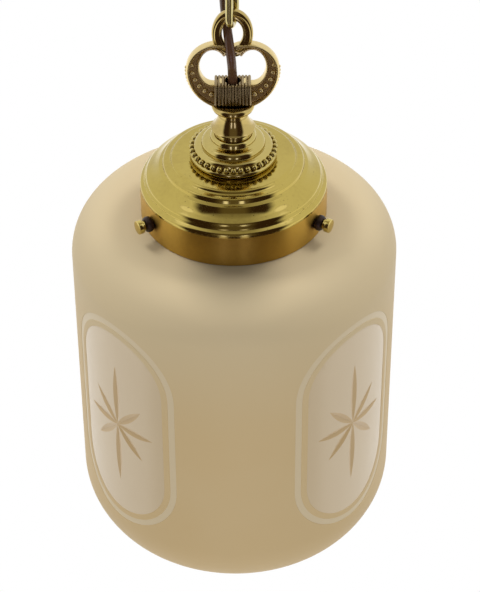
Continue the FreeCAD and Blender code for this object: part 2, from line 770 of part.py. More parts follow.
def stepped_cap():
    """Cast cap of three rolls over a ring of beads, on the gallery's flat top."""
    radius = size("cap_radius")
    bore = size("rod_radius") + 0.3
    body = turned("stepped_cap", CAP, [
        (radius - 3.2, 0),
        (radius, 0),
        (radius, 3.7, 1.9),
        (radius - 0.9, 4.2),
        (radius - 0.9, 6.6),
        (radius - 3.9, 9.8, 3.3),
        (radius - 6.1, 9.5),
        (radius - 6.2, 10.4),
        (radius - 9.6, 13.5, 3.4),
        (radius - 12.0, 14.3),
        (radius - 12.1, 15.2),
        (radius - 15.0, 18.1, 2.9),
        (radius - 15.2, 18.3),
        (radius - 15.2, 21.4),
        (bore, 21.4),
        (bore, 16.6),
        (radius - 15.2, 16.6),
        (radius - 13.6, 15.0),
        (radius - 13.3, 13.0),
        (radius - 10.2, 12.1),
        (radius - 7.6, 9.9),
        (radius - 7.2, 8.4),
        (radius - 4.2, 8.4),
        (radius - 2.2, 6.2),
        (radius - 2.2, 2.0),
    ])
    bead = body.newObject("PartDesign::AdditiveSphere", "Bead")
    bead.Radius = VALUES["cap_bead"]
    bind(bead, Radius=size("cap_bead"))
    bead.AttachmentSupport = [(plane(body, "XY_Plane"), "")]
    bead.MapMode = "FlatFace"
    bead.AttachmentOffset = Placement(
        Vector(VALUES["cap_bead_ring"], 0, VALUES["cap_bead_level"]), Rotation())
    bead.setExpression("AttachmentOffset.Base.x", "Sizes.cap_bead_ring")
    bead.setExpression("AttachmentOffset.Base.z", "Sizes.cap_bead_level")
    pattern = body.newObject("PartDesign::PolarPattern", "BeadRing")
    pattern.Originals = [bead]
    pattern.Axis = (plane(body, "Z_Axis"), [""])
    pattern.Angle = 360
    pattern.Occurrences = int(VALUES["cap_bead_count"])
    body.Tip = pattern
    return keep(body, "stepped_cap")


def gallery():
    """Spun brass holder of the glass: a satin band under a polished dome of four rolls."""
    band = size("band_radius")
    top = size("band_height")
    deck = size("deck_height")
    inside = band - size("spun_wall")
    bore = size("rod_radius") + 0.3
    body = turned("gallery", RIM, [
        (inside, 0),
        (band, 0),
        (band, top),
        (band, top + 1.2),
        (band - 1.2, top + 3.3, 2.4),
        (band - 2.7, top + 4.3),
        (band - 2.7, top + 5.1),
        (band - 3.4, top + 5.9),
        (band - 4.0, top + 6.6),
        (band - 5.0, top + 8.5, 2.4),
        (band - 10.8, top + 12.8, -20.0),
        (band - 12.9, top + 15.1),
        (band - 15.2, top + 16.1),
        (band - 15.5, top + 17.7),
        (band - 17.1, top + 19.4, 2.2),
        (band - 19.8, top + 19.7),
        (band - 20.7, top + 20.4),
        (band - 22.9, deck, 2.4),
        (bore, deck),
        (bore, deck - 1.1),
        (band - 23.3, deck - 1.1),
        (band - 20.6, top + 18.8),
        (band - 17.5, top + 18.4),
        (band - 16.6, top + 17.6),
        (band - 16.3, top + 15.5),
        (band - 13.9, top + 14.4),
        (band - 11.6, top + 12.1),
        (band - 8.8, top + 9.5),
        (band - 5.7, top + 7.5),
        (band - 5.1, top + 6.3),
        (band - 3.9, top + 4.4),
        (band - 3.0, top + 3.3),
        (band - 1.9, top + 2.4),
        (inside, top + 1.0),
    ])
    holes = []
    for number in range(int(VALUES["screw_count"])):
        hole = doc.addObject("Part::Cylinder", "ScrewHole%d" % number)
        bind(hole, Radius=size("screw_radius") + 0.15, Height=10)
        place_radially(hole, number, band - 6, size("screw_level"))
        holes.append(hole)
    drilled = doc.addObject("Part::MultiFuse", "ScrewHoles")
    drilled.Shapes = holes
    cut = doc.addObject("Part::Cut", "DrilledGallery")
    cut.Base = body
    cut.Tool = drilled
    return keep(cut, "gallery")


def screw_azimuth(number):
    """Turn of a thumbscrew about the axis from the front, in degrees: left, right and back."""
    return -60 + 120 * number


def place_radially(thing, number, start, height):
    """Lays an upright object along the radius of a thumbscrew, starting that far out."""
    azimuth = math.radians(screw_azimuth(number))
    outward = Vector(math.sin(azimuth), -math.cos(azimuth), 0)
    start = dim(start)
    thing.Placement = Placement(outward * start.value, Rotation(Vector(0, 0, 1), outward))
    thing.setExpression("Placement.Base.x", (start * outward.x).text)
    thing.setExpression("Placement.Base.y", (start * outward.y).text)
    lift(thing, RIM + height)


def thumbscrew(number):
    """One thumbscrew: thread, collar and head; it clamps the glass neck."""
    length = size("head_face") - size("screw_tip")
    thick = size("head_thick")
    head = size("head_radius")
    body = turned("thumbscrew_%d" % (number + 1), 0, [
        (0, 0),
        (size("screw_radius") - 0.5, 0),
        (size("screw_radius"), 0.6),
        (size("screw_radius"), length - thick - 1.7),
        (head - 1.3, length - thick - 1.7),
        (head - 1.3, length - thick),
        (head - 0.4, length - thick),
        (head, length - thick + 0.4),
        (head, length - 0.5),
        (head - 0.5, length),
        (0, length),
    ])
    place_radially(body, number, size("screw_tip"), size("screw_level"))
    return keep(body, "thumbscrew_%d" % (number + 1))


def lock_nut(number):
    """One dark rounded lock nut, which stays on the band."""
    nut = size("nut_radius")
    thick = size("nut_thick")
    bore = size("screw_radius") + 0.15
    body = turned("lock_nut_%d" % (number + 1), 0, [
        (bore, 0),
        (nut - 0.9, 0),
        (nut - 0.9, thick, 3.3),
        (bore, thick),
    ])
    place_radially(body, number, size("band_radius") + 0.25, size("screw_level"))
    return keep(body, "lock_nut_%d" % (number + 1))


def rod_and_nuts():
    """Hollow threaded rod that ties trefoil, cap, gallery and lampholder, with its nuts."""
    low = RIM + size("holder_top") - 6
    high = FOOT + 13.6
    keep(tube("threaded_rod", low, size("rod_radius"), size("rod_bore"), high - low),
         "threaded_rod")
    under = RIM + size("deck_height") - 1.1
    keep(tube("gallery_washer", under - 1.6, 12.0, size("rod_radius") + 0.2, 1.5),
         "gallery_washer")
    sketch_nut("rod_nut", under - 6.4, 8.0, 4.6)


def sketch_nut(label, level, across, height):
    """A six-sided nut on the rod."""
    prism = doc.addObject("Part::Prism", "Prism_" + label)
    prism.Polygon = 6
    bind(prism, Circumradius=across, Height=height)
    drill = doc.addObject("Part::Cylinder", "Drill_" + label)
    bind(drill, Radius=size("rod_radius") + 0.02, Height=dim(height) + 2)
    drill.Placement.Base.z = -1
    cut = doc.addObject("Part::Cut", "Cut_" + label)
    cut.Base = prism
    cut.Tool = drill
    lift(cut, level)
    return keep(cut, label)


# Glass

def glass_blank():
    """The blown glass before cutting: closed bottom, straight wall, shoulder, neck and lip."""
    radius = size("glass_radius")
    wall = size("glass_wall")
    shoulder = size("shoulder_radius")
    heel = size("heel_radius")
    dome = size("dome_radius")
    neck = size("neck_outside")
    r = radius.value
    reach = dome.value - heel.value
    heel_in = r - heel.value
    drop = math.sqrt(reach ** 2 - heel_in ** 2)
    lean = math.asin(heel_in / reach)
    bottom = dome.value - drop
    level = RIM - size("wall_top") - size("wall_height") - bottom
    wall_low = bottom
    wall_high = wall_low + VALUES["wall_height"]
    slope = math.radians(7.2)
    turn_x = r - shoulder.value + shoulder.value * math.sin(slope)
    turn_z = wall_high + shoulder.value * math.cos(slope)
    rim = wall_high + VALUES["wall_top"]
    rise = turn_z + (turn_x - neck.value - 5.0) * math.tan(slope)
    lip = rim + VALUES["neck_height"]
    outside_x = dome.value * math.sin(lean)
    outside_z = dome.value - dome.value * math.cos(lean)
    t = wall.value
    inside_x = (dome.value - t) * math.sin(lean)
    inside_z = dome.value - (dome.value - t) * math.cos(lean)
    fillet = 5.0
    return turned("glass_blank", level, [
        (0, 0),
        (outside_x, outside_z, dome),
        (radius, wall_low, heel),
        (radius, wall_high),
        (turn_x, turn_z, shoulder),
        (neck + fillet, rise),
        (neck, rise + fillet * 0.9, -fillet),
        (neck, lip - 4.0),
        (neck + 1.3, lip - 3.2),
        (neck + 1.3, lip - 1.0),
        (neck, lip, 1.6),
        (neck - wall, lip - 1.0, 2.3),
        (neck - wall, rise + 1.0),
        (neck + fillet, rise - wall, fillet + 4.4),
        (turn_x - wall * math.sin(slope), turn_z - wall * math.cos(slope)),
        (radius - wall, wall_high, -(shoulder - wall)),
        (radius - wall, wall_low),
        (inside_x, inside_z, -(heel - wall)),
        (0, wall, -(dome - wall)),
    ])


def panel_band(half_wide, half_high, inner, outer):
    """The piece of a thin shell under an upright stadium, facing -Y, about its own middle."""
    straight = half_high - half_wide
    box = Part.makeBox(2 * half_wide, outer, 2 * straight, Vector(-half_wide, -outer, -straight))
    ends = [Part.makeCylinder(half_wide, outer, Vector(0, -outer, side * straight),
                              Vector(0, 1, 0)) for side in (-1, 1)]
    stadium = box.fuse(ends)
    return stadium.common(shell_ring(half_high, inner, outer))


def shell_ring(half_high, inner, outer):
    """A thin upright ring between two radii."""
    ring = Part.makeCylinder(outer, 2 * half_high + 2, Vector(0, 0, -half_high - 1))
    return ring.cut(Part.makeCylinder(inner, 2 * half_high + 4, Vector(0, 0, -half_high - 2)))


def spike(length, angle, inner, outer):
    """One cut of a star: pointed at both ends, from the middle outwards at an angle."""
    wide = VALUES["star_wide"]
    radius = (length ** 2 / 4 + wide ** 2 / 4) / wide
    across = radius - wide / 2
    halves = [Part.makeCylinder(radius, outer, Vector(side * across, -outer, length / 2 + 0.7),
                                Vector(0, 1, 0)) for side in (-1, 1)]
    lens = halves[0].common(halves[1])
    lens.rotate(Vector(0, 0, 0), Vector(0, 1, 0), angle)
    return lens.common(shell_ring(length + 4, inner, outer))


def glass_shade():
    """The finished glass: four polished panels, each with a polished line and a cut star."""
    blank = glass_blank()
    doc.recompute()
    radius = VALUES["glass_radius"]
    outer = radius + 1
    floor = radius - VALUES["panel_depth"]
    wide = VALUES["panel_half_wide"]
    high = VALUES["panel_half_high"]
    gap = VALUES["line_gap"]
    line = gap + VALUES["line_width"]
    panel = panel_band(wide, high, floor, outer)
    ring = panel_band(wide + line, high + line, floor, outer)
    ring = ring.cut(panel_band(wide + gap, high + gap, floor - 1, outer + 1))
    cuts = [panel, ring]
    for number in range(8):
        length = VALUES["star_tall"] if number % 4 == 0 else VALUES["star_short"]
        cuts.append(spike(length, 45 * number, radius - VALUES["star_depth"], outer))
    middle = Part.makeCylinder(1.7, outer, Vector(0, -outer, 0), Vector(0, 1, 0))
    cuts.append(middle.common(shell_ring(4, radius - VALUES["star_depth"], outer)))
    design = cuts[0].fuse(cuts[1:])
    middle = RIM.value - VALUES["panel_level"]
    tools = []
    for number in range(1, 5):
        tool = design.copy()
        tool.rotate(Vector(0, 0, 0), Vector(0, 0, 1), VALUES["panel_turn_%d" % number])
        tool.translate(Vector(0, 0, middle))
        tools.append(tool)
    piece = doc.addObject("Part::Feature", "PanelTools")
    piece.Shape = Part.makeCompound(tools)
    cut = doc.addObject("Part::Cut", "CutGlass")
    cut.Base = blank
    cut.Tool = piece
    return keep(cut, "glass_shade")


# Lampholder and bulb

def lampholder():
    """Lampholder under the rod: cap, body, ring, sleeve, insulator and middle contact."""
    radius = size("holder_radius")
    top = RIM + size("holder_top")
    keep(turned("holder_cap", top - 16, [
        (radius - 1.5, 0),
        (radius + 0.6, 0),
        (radius + 0.6, 5),
        (9, 13, 14),
        (8, 16),
        (size("rod_radius") + 0.02, 16),
        (size("rod_radius") + 0.02, 10.5),
        (radius - 1.5, 5),
    ]), "holder_cap")
    keep(turned("holder_body", top - size("holder_height"), [
        (radius - 2.2, 0),
        (radius - 0.4, 0),
        (radius, 0.6),
        (radius, 34),
        (radius - 3.4, 34),
        (radius - 3.4, 30),
        (radius - 2.2, 30),
    ]), "holder_body")
    keep(turned("holder_ring", top - 44, [
        (radius + 0.2, 0),
        (radius + 3.4, 0),
        (radius + 3.8, 2.5, 6),
        (radius + 3.4, 5),
        (radius + 0.2, 5),
    ]), "holder_ring")
    keep(tube("holder_sleeve", top - 48.5, size("thread_radius") + 0.7, size("thread_radius"),
              23.6), "holder_sleeve")
    keep(turned("holder_insulator", top - 24.8, [
        (3.0, 0),
        (radius - 2.3, 0),
        (radius - 2.3, 4.7),
        (3.0, 4.7),
    ]), "holder_insulator")
    keep(turned("holder_contact", top - 25.2, [
        (0, 0),
        (2.95, 0),
        (2.95, 7.2),
        (0, 7.2),
    ]), "holder_contact")


def inner_flex():
    """The flex inside the lamp, from the barrel down through the rod to the lampholder."""
    low = RIM + size("holder_top") - 13
    high = FOOT + 26.8
    piece = turned("flex_inside", low, [
        (0, 0),
        (size("flex_width") / 2, 0),
        (size("flex_width") / 2, high - low),
        (0, high - low),
    ])
    return keep(piece, "flex_inside")


def bulb():
    """Screw-in bulb: glass, brass cap, insulator, contact, and the stem that holds the coil."""
    radius = size("bulb_radius")
    cap = size("bulb_cap_radius")
    length = size("bulb_length")
    level = RIM + size("bulb_top") - length
    keep(turned("bulb_glass", level, [
        (0, 0),
        (radius, radius, radius),
        (cap + 4, length - 39, 36),
        (cap - 0.8, length - 28, -30),
        (cap - 0.8, length - 22),
        (cap - 1.8, length - 22),
        (cap - 1.8, length - 28.4),
        (cap + 3, length - 39.4, 31),
        (radius - 1, radius, -35),
        (0, 1, -(radius - 1)),
    ]), "bulb_glass")
    keep(turned("bulb_cap", level + length - 27, [
        (cap - 0.7, 0),
        (cap, 0),
        (cap, 20),
        (8, 24),
        (5, 24),
        (5, 23.2),
        (cap - 0.7, 19.4),
    ]), "bulb_cap")
    keep(turned("bulb_insulator", level + length - 3.8, [
        (2.2, 0),
        (4.9, 0),
        (4.9, 1.6),
        (3.4, 3.0),
        (2.2, 3.0),
    ]), "bulb_insulator")
    keep(turned("bulb_contact", level + length - 1.6, [
        (0, 0),
        (2.0, 0),
        (2.0, 0.9),
        (1.2, 1.6),
        (0, 1.6),
    ]), "bulb_contact")
    keep(turned("bulb_stem", level + 48, [
        (0, 0),
        (2.4, 0),
        (3.2, 10),
        (5.5, 24),
        (cap - 2.2, 33),
        (cap - 2.2, 34),
        (0, 34),
    ]), "bulb_stem")


def build():
    """Makes every sub-part."""
    ceiling_plate()
    ceiling_rose()
    hook()
    rose_collar()
    terminal_block()
    rose_bush()
    chain_link(1, 90 - VALUES["link_turn"])
    chain_link(2, 0)
    chain_link(3, 90)
    flex_pieces()
    trefoil()
    stepped_cap()
    gallery()
    rod_and_nuts()
    for number in range(int(VALUES["screw_count"])):
        lock_nut(number)
        thumbscrew(number)
    glass_shade()
    lampholder()
    inner_flex()
    bulb()


def check():
    """Stops if an object failed or a sub-part has no sound shape."""
    doc.recompute()
    for thing in doc.Objects:
        if "Invalid" in thing.State or "Error" in thing.State:
            raise RuntimeError("%s failed: %s" % (thing.Name, thing.State))
    for thing in SUB_PARTS:
        shape = thing.Shape
        if shape.isNull() or not shape.isValid() or not shape.Solids:
            raise RuntimeError("%s has no sound shape" % thing.Label)


def export():
    """Writes each sub-part to its own file."""
    os.makedirs("parts", exist_ok=True)
    for thing in SUB_PARTS:
        thing.Shape.exportStep("parts/%s.step" % thing.Label)
        box = thing.Shape.BoundBox
        print("%-18s solids %d  faces %3d  volume %9.0f  z %.1f to %.1f"
              % (thing.Label, len(thing.Shape.Solids), len(thing.Shape.Faces),
                 thing.Shape.Volume, box.ZMin, box.ZMax))


build()
check()
export()
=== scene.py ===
"""Looks of a hanging lamp: an amber satin glass cylinder in a stepped brass gallery.

Sizes are in millimetres unless a name says otherwise. Z is up, the lamp faces -Y, and the
origin is on the ceiling above the lamp's axis, so every level is below zero.
"""
import logging
import math
from dataclasses import dataclass, field
from enum import Enum
from typing import Any, Callable, Dict, List, Optional, Sequence, Tuple, Union

import bmesh
import bpy
from mathutils import Matrix, Vector
from mathutils.geometry import delaunay_2d_cdt


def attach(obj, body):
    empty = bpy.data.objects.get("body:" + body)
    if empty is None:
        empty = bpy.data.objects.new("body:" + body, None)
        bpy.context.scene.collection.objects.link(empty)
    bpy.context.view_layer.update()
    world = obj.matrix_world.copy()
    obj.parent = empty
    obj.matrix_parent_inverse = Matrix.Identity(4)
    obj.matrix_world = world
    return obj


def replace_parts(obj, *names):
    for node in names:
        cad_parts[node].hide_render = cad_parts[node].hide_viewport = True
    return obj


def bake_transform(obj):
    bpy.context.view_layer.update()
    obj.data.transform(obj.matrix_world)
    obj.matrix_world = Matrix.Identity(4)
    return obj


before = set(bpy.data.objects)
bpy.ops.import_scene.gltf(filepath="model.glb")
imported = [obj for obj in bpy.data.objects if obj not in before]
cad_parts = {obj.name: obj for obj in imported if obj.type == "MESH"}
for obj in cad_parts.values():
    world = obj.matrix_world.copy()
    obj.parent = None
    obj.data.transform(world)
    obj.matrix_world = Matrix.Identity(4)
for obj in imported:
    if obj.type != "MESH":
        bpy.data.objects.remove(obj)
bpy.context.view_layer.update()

MM = 0.001
TINY = 1e-6
LOG = logging.getLogger("hanging_lamp")

Point = Tuple[float, float]
Corner = Tuple[float, ...]
Colour = Tuple[float, float, float]

# Levels of the gallery's lower edge, the trefoil's foot and the cap's foot, and the bore.
RIM = -324.0
FOOT = -258.1
CAP = -279.5
BORE = 5.3


def shade(red: int, green: int, blue: int) -> Colour:
    """The linear colour of a screen colour.

    Args:
        red: Red from 0 to 255.
        green: Green from 0 to 255.
        blue: Blue from 0 to 255.

    Returns:
        The three linear parts.
    """
    parts = []
    for part in (red, green, blue):
        share = part / 255
        parts.append(share / 12.92 if share <= 0.04045 else ((share + 0.055) / 1.055) ** 2.4)
    return parts[0], parts[1], parts[2]


# Shading


class Wire:
    """A socket of a shader tree whose arithmetic adds Math nodes."""

    def __init__(self, bench: "Bench", socket: Any) -> None:
        """Keeps the tree's owner and an output socket."""
        self.bench = bench
        self.socket = socket

    def _sum(self, operation: str, *terms: Union["Wire", float]) -> "Wire":
        """Adds one Math node."""
        return self.bench.node("ShaderNodeMath", {"operation": operation}, list(terms))

    def __add__(self, other: Union["Wire", float]) -> "Wire":
        """Self plus other."""
        return self._sum("ADD", self, other)

    def __radd__(self, other: Union["Wire", float]) -> "Wire":
        """Other plus self."""
        return self._sum("ADD", other, self)

    def __sub__(self, other: Union["Wire", float]) -> "Wire":
        """Self minus other."""
        return self._sum("SUBTRACT", self, other)

    def __rsub__(self, other: Union["Wire", float]) -> "Wire":
        """Other minus self."""
        return self._sum("SUBTRACT", other, self)

    def __mul__(self, other: Union["Wire", float]) -> "Wire":
        """Self times other."""
        return self._sum("MULTIPLY", self, other)

    def above(self, level: float, soft: float) -> "Wire":
        """A mask that rises from 0 to 1 around a level.

        Args:
            level: Where the mask is a half.
            soft: How wide the rise is.

        Returns:
            The mask.
        """
        return self.bench.node(
            "ShaderNodeMapRange",
            {"interpolation_type": "SMOOTHSTEP"},
            {"Value": self, "From Min": level - soft / 2, "From Max": level + soft / 2},
        )

    def most(self, other: Union["Wire", float]) -> "Wire":
        """The larger of the two."""
        return self._sum("MAXIMUM", self, other)

    def __abs__(self) -> "Wire":
        """Self without its sign."""
        return self._sum("ABSOLUTE", self)

    def bearing(self, ahead: "Wire") -> "Wire":
        """The angle in radians whose sine part is self and cosine part is ahead."""
        return self._sum("ARCTAN2", self, ahead)

    def inside(self, low: float, high: float, soft: float) -> "Wire":
        """A mask that is 1 between two levels, with soft edges."""
        return self.above(low, soft) * (1 - self.above(high, soft))


class Bench:
    """The shader tree of one material or world."""

    def __init__(self, name: str, store: Any = None) -> None:
        """Starts a material or world with an empty tree.

        Args:
            name: Its name.
            store: Where Blender keeps it, if not among the materials.
        """
        self.owner = (bpy.data.materials if store is None else store).new(name)
        self.owner.use_nodes = True
        self.tree = self.owner.node_tree
        self.tree.nodes.clear()

    def node(
        self,
        kind: str,
        settings: Optional[Dict[str, Any]] = None,
        inputs: Union[Sequence[Any], Dict[Any, Any], None] = None,
        output: Union[int, str] = 0,
    ) -> Wire:
        """Adds one node: its settings first, then the values or links of its sockets.

        Args:
            kind: The node's type.
            settings: Its properties.
            inputs: Socket values or links, in order or by name.
            output: Which result to return.

        Returns:
            That result.
        """
        made = self.tree.nodes.new(kind)
        for name, value in (settings or {}).items():
            setattr(made, name, value)
        pairs = inputs.items() if isinstance(inputs, dict) else enumerate(inputs or [])
        for place, value in pairs:
            socket = made.inputs[place]
            if isinstance(value, Wire):
                self.tree.links.new(value.socket, socket)
            elif isinstance(value, tuple) and len(value) < len(socket.default_value):
                socket.default_value = (*value, 1.0)
            else:
                socket.default_value = value
        return Wire(self, made.outputs[output] if len(made.outputs) else None)

    def place(self) -> Wire:
        """The surface point in metres, in the part's own frame."""
        return self.node("ShaderNodeTexCoord", output="Object")

    def height(self) -> Wire:
        """The surface point's level in metres."""
        return self.node("ShaderNodeSeparateXYZ", None, [self.place()], 2)

    def stretched(self, across: float, along: float) -> Wire:
        """The surface point with its plan and its height scaled apart."""
        return self.node("ShaderNodeVectorMath", {"operation": "MULTIPLY"},
                         [self.place(), (across, across, along)])

    def noise(self, scale: float, detail: float = 3.0, where: Optional[Wire] = None) -> Wire:
        """Soft noise from 0 to 1, with so many waves to a metre and finer octaves."""
        return self.node("ShaderNodeTexNoise", None,
                         {"Vector": where or self.place(), "Scale": scale, "Detail": detail})

    def mix(self, share: Union[Wire, float], first: Any, second: Any) -> Wire:
        """Mixes two colours."""
        return self.node("ShaderNodeMix", {"data_type": "RGBA"}, {0: share, 6: first, 7: second}, 2)

    def relief(self, height: Wire, strength: float, reach: float) -> Wire:
        """The normal bumped by a height from 0 to 1, with its depth in metres."""
        return self.node("ShaderNodeBump", None,
                         {"Strength": strength, "Distance": reach, "Height": height})

    def finish(self, **sockets: Any) -> bpy.types.Material:
        """Adds the Principled surface and the output."""
        named = {name.replace("_", " "): value for name, value in sockets.items()}
        return self.show(self.node("ShaderNodeBsdfPrincipled", None, named))

    def show(self, surface: Wire, kind: str = "Material") -> Any:
        """Links a shader to the output of the material or world, and gives that back."""
        self.node("ShaderNodeOutput" + kind, None, {"Surface": surface})
        return self.owner


@dataclass(frozen=True)
class Brass:
    """Polished or satin brass with worn clouds, a turned grain and a few dark specks."""

    name: str
    tint: Colour = shade(192, 174, 104)
    tarnish: Colour = shade(92, 66, 34)
    speck: Colour = shade(45, 28, 14)
    roughness: float = 0.09
    ageing: float = 0.25
    specks: float = 0.0
    brushed: float = 0.0
    lathed: float = 0.0
    cloudy: float = 0.65
    tarnished: float = 0.45
    worn_rough: float = 0.07
    speck_rough: float = 0.4
    grain_strength: Point = (0.05, 0.35)

    def make(self) -> bpy.types.Material:
        """Builds the material."""
        bench = Bench(self.name)
        cloud = bench.noise(scale=38, detail=4)
        fine = bench.noise(scale=420, detail=3)
        worn = (cloud * self.cloudy + fine * (1 - self.cloudy)).above(level=0.56, soft=0.3)
        aged = tuple(part + self.tarnished * (dark - part)
                     for part, dark in zip(self.tint, self.tarnish))
        colour = bench.mix(worn * self.ageing, self.tint, aged)
        rough = self.roughness + worn * self.worn_rough
        if self.specks > 0:
            spot = bench.noise(scale=900, detail=1).above(level=0.735, soft=0.03)
            spot = spot * bench.noise(scale=30, detail=1).above(level=0.58, soft=0.1)
            colour = bench.mix(spot * self.specks, colour, self.speck)
            rough = rough + spot * self.speck_rough
        grain = bench.noise(scale=1.0, where=bench.stretched(
            across=60.0, along=5200.0 if self.brushed else 700.0))
        least, more = self.grain_strength
        normal = bench.relief(grain, strength=least + more * self.brushed, reach=0.0001)
        return bench.finish(Base_Color=colour, Metallic=1.0, Roughness=rough, Normal=normal,
                            Anisotropic=self.lathed, Anisotropic_Rotation=0.25)


@dataclass(frozen=True)
class Glass:
    """Amber glass, satin or polished, that grows warmer towards its foot."""

    name: str
    upper: Colour
    lower: Colour
    roughness: float
    frosted: bool = False
    warm_level: float = -0.385
    warm_soft: float = 0.16
    paler: float = 1.06
    clouds: float = 0.22
    # Painted shade below the gallery: its middle in metres, the distance where it fades and how
    # softly, its colour as a share of the upper one, and how much of it is mixed in.
    painted_shade_centre: Tuple[float, float, float] = (-0.001, -0.066, -0.332)
    painted_shade_reach: Point = (0.025, 0.036)
    painted_shade_depth: float = 0.30
    painted_shade_share: float = 0.75

    def make(self) -> bpy.types.Material:
        """Builds the material; where it is frosted, a painted shade darkens it just below the
        gallery's front.
        """
        bench = Bench(self.name)
        low = 1 - bench.height().above(self.warm_level, self.warm_soft)
        cloud = bench.noise(scale=9, detail=3)
        tone = bench.mix(low, self.upper, self.lower)
        pale = tuple(min(1.0, part * self.paler) for part in self.upper)
        colour = bench.mix(cloud.above(level=0.5, soft=0.5) * self.clouds, tone, pale)
        if self.frosted:
            # Painted shade: the colour darkens near a point just below the gallery's front,
            # standing in for the gallery's shadow on the shoulder.
            away = bench.node("ShaderNodeVectorMath", {"operation": "DISTANCE"}, [
                bench.place(), self.painted_shade_centre], 1)
            deep = tuple(part * self.painted_shade_depth for part in self.upper)
            near = 1 - away.above(*self.painted_shade_reach)
            colour = bench.mix(near * self.painted_shade_share, colour, deep)
        rough = self.roughness + bench.noise(scale=60, detail=2) * 0.05
        grains = bench.noise(scale=2600 if self.frosted else 14, detail=2)
        normal = bench.relief(grains, strength=0.12 if self.frosted else 0.05,
                              reach=0.0001 if self.frosted else 0.0004)
        return bench.finish(Base_Color=colour, Roughness=rough, Normal=normal, IOR=1.3,
                            Coat_Weight=0.0 if self.frosted else 0.2, Coat_Roughness=0.03)


@dataclass(frozen=True)
class Coating:
    """A plain moulded, plated or glazed finish with a fine grain."""

    name: str
    colour: Colour
    second: Colour
    roughness: float
    metallic: float = 0.0
    grain: float = 500.0
    depth: float = 0.05

    def make(self) -> bpy.types.Material:
        """Builds the material."""
        bench = Bench(self.name)
        cloud = bench.noise(scale=self.grain / 9)
        fine = bench.noise(scale=self.grain)
        share = (cloud * 0.6 + fine * 0.4).above(level=0.52, soft=0.35)
        colour = bench.mix(share, self.colour, self.second)
        return bench.finish(Base_Color=colour, Metallic=self.metallic,
                            Roughness=self.roughness + fine * 0.12,
                            Normal=bench.relief(fine, self.depth, reach=0.0002))


class Finish(Enum):
    """The finishes of the lamp, each with the record's slot that it belongs to."""

    SPUN = ("spun_brass", Brass("spun brass", tint=shade(186, 166, 88), specks=0.9,
                                ageing=0.35))
    SATIN_BAND = ("spun_brass", Brass("satin band", tint=shade(188, 150, 66), roughness=0.42,
                                      ageing=0.2, brushed=0.6, lathed=0.85))
    CAST = ("cast_brass", Brass("cast brass", tint=shade(190, 168, 104), roughness=0.11,
                                ageing=0.5))
    CAST_WEB = ("cast_brass", Brass("cast web", tint=shade(190, 162, 104), roughness=0.2,
                                    ageing=0.6))
    # Painted highlight: a lighter, rougher copy of the cast brass for rims, lips and beads, so that
    # they show as catching the light.
    CAST_RIM = ("cast_brass", Brass("cast rim highlight", tint=shade(226, 204, 146), roughness=0.27,
                                    ageing=0.2))
    CAST_BARREL = ("cast_brass", Brass("cast barrel", tint=shade(152, 134, 98), roughness=0.16,
                                       ageing=0.5))
    CAP = ("cast_brass", Brass("cap brass", tint=shade(190, 172, 104), roughness=0.09,
                               ageing=0.3, specks=0.4))
    CHAIN = ("chain_brass", Brass("chain brass", tint=shade(186, 174, 118), roughness=0.14,
                                  ageing=0.5))
    TRIM = ("polished_brass", Brass("trim brass", tint=shade(200, 180, 104), roughness=0.12))
    SATIN_GLASS = ("amber_glass", Glass("satin glass", shade(208, 190, 154),
                                        shade(206, 180, 134), 0.55, True))
    PANEL_GLASS = ("amber_glass", Glass("panel glass", shade(210, 191, 160),
                                        shade(208, 188, 156), 0.22))
    LINE_GLASS = ("amber_glass", Glass("line glass", shade(214, 197, 166),
                                       shade(212, 194, 160), 0.4, True))
    STAR_GLASS = ("amber_glass", Glass("cut star", shade(196, 168, 124),
                                       shade(194, 166, 122), 0.3))
    BULB_GLASS = ("clear_glass", Coating("bulb glass", shade(240, 238, 230),
                                         shade(232, 230, 222), 0.08, depth=0.01))
    DARK_NUT = ("dark_nut", Coating("dark nut", shade(58, 40, 30), shade(34, 22, 16), 0.3, 0.6,
                                    grain=1500))
    FLEX = ("brown_flex", Coating("flex skin", shade(86, 56, 36), shade(72, 46, 28), 0.22,
                                  grain=60.0))
    STEEL = ("steel", Coating("plated steel", shade(176, 176, 172), shade(150, 148, 142), 0.3,
                              1.0, grain=1200))
    WHITE = ("white_plastic", Coating("white plastic", shade(226, 225, 218),
                                      shade(214, 212, 203), 0.45))
    BLACK = ("black_plastic", Coating("black plastic", shade(28, 28, 28), shade(20, 20, 20),
                                      0.35))
    CERAMIC = ("white_ceramic", Coating("lamp ceramic", shade(232, 230, 220),
                                        shade(218, 214, 202), 0.6, grain=800))

    @property
    def slot(self) -> str:
        """The record's slot."""
        return self.value[0]

    def material(self) -> bpy.types.Material:
        """The finish's material, made on first use."""
        recipe = self.value[1]
        return bpy.data.materials.get(recipe.name) or recipe.make()


# Meshes


def circle(count: int) -> List[float]:
    """Angles in radians all round, from 0."""
    return [2 * math.pi * k / count for k in range(count)]


def put(name: str, data: Any) -> bpy.types.Object:
    """Adds an object to the scene.

    Args:
        name: Its name.
        data: What it shows.

    Returns:
        The object.
    """
    thing = bpy.data.objects.new(name, data)
    bpy.context.scene.collection.objects.link(thing)
    return thing


def arc_points(start: Point, end: Point, bend: float, step: float) -> List[Point]:
    """Points inside an arc between two points.

    Args:
        start: Where it starts.
        end: Where it ends.
        bend: Its radius, positive where it turns left on the way.
        step: Degrees from point to point.

    Returns:
        The points between the two ends.
    """
    chord = Vector(end) - Vector(start)
    half = chord.length / 2
    reach = math.sqrt(max(bend * bend - half * half, 0.0))
    left = Vector((-chord.y, chord.x)).normalized()
    middle = (Vector(start) + Vector(end)) / 2 + left * (reach if bend > 0 else -reach)
    first = math.atan2(start[1] - middle.y, start[0] - middle.x)
    sweep = 2 * math.asin(min(1.0, half / abs(bend))) * (1 if bend > 0 else -1)
    count = max(2, round(math.degrees(abs(sweep)) / step))
    return [(middle.x + abs(bend) * math.cos(first + sweep * k / count),
             middle.y + abs(bend) * math.sin(first + sweep * k / count))
            for k in range(1, count)]


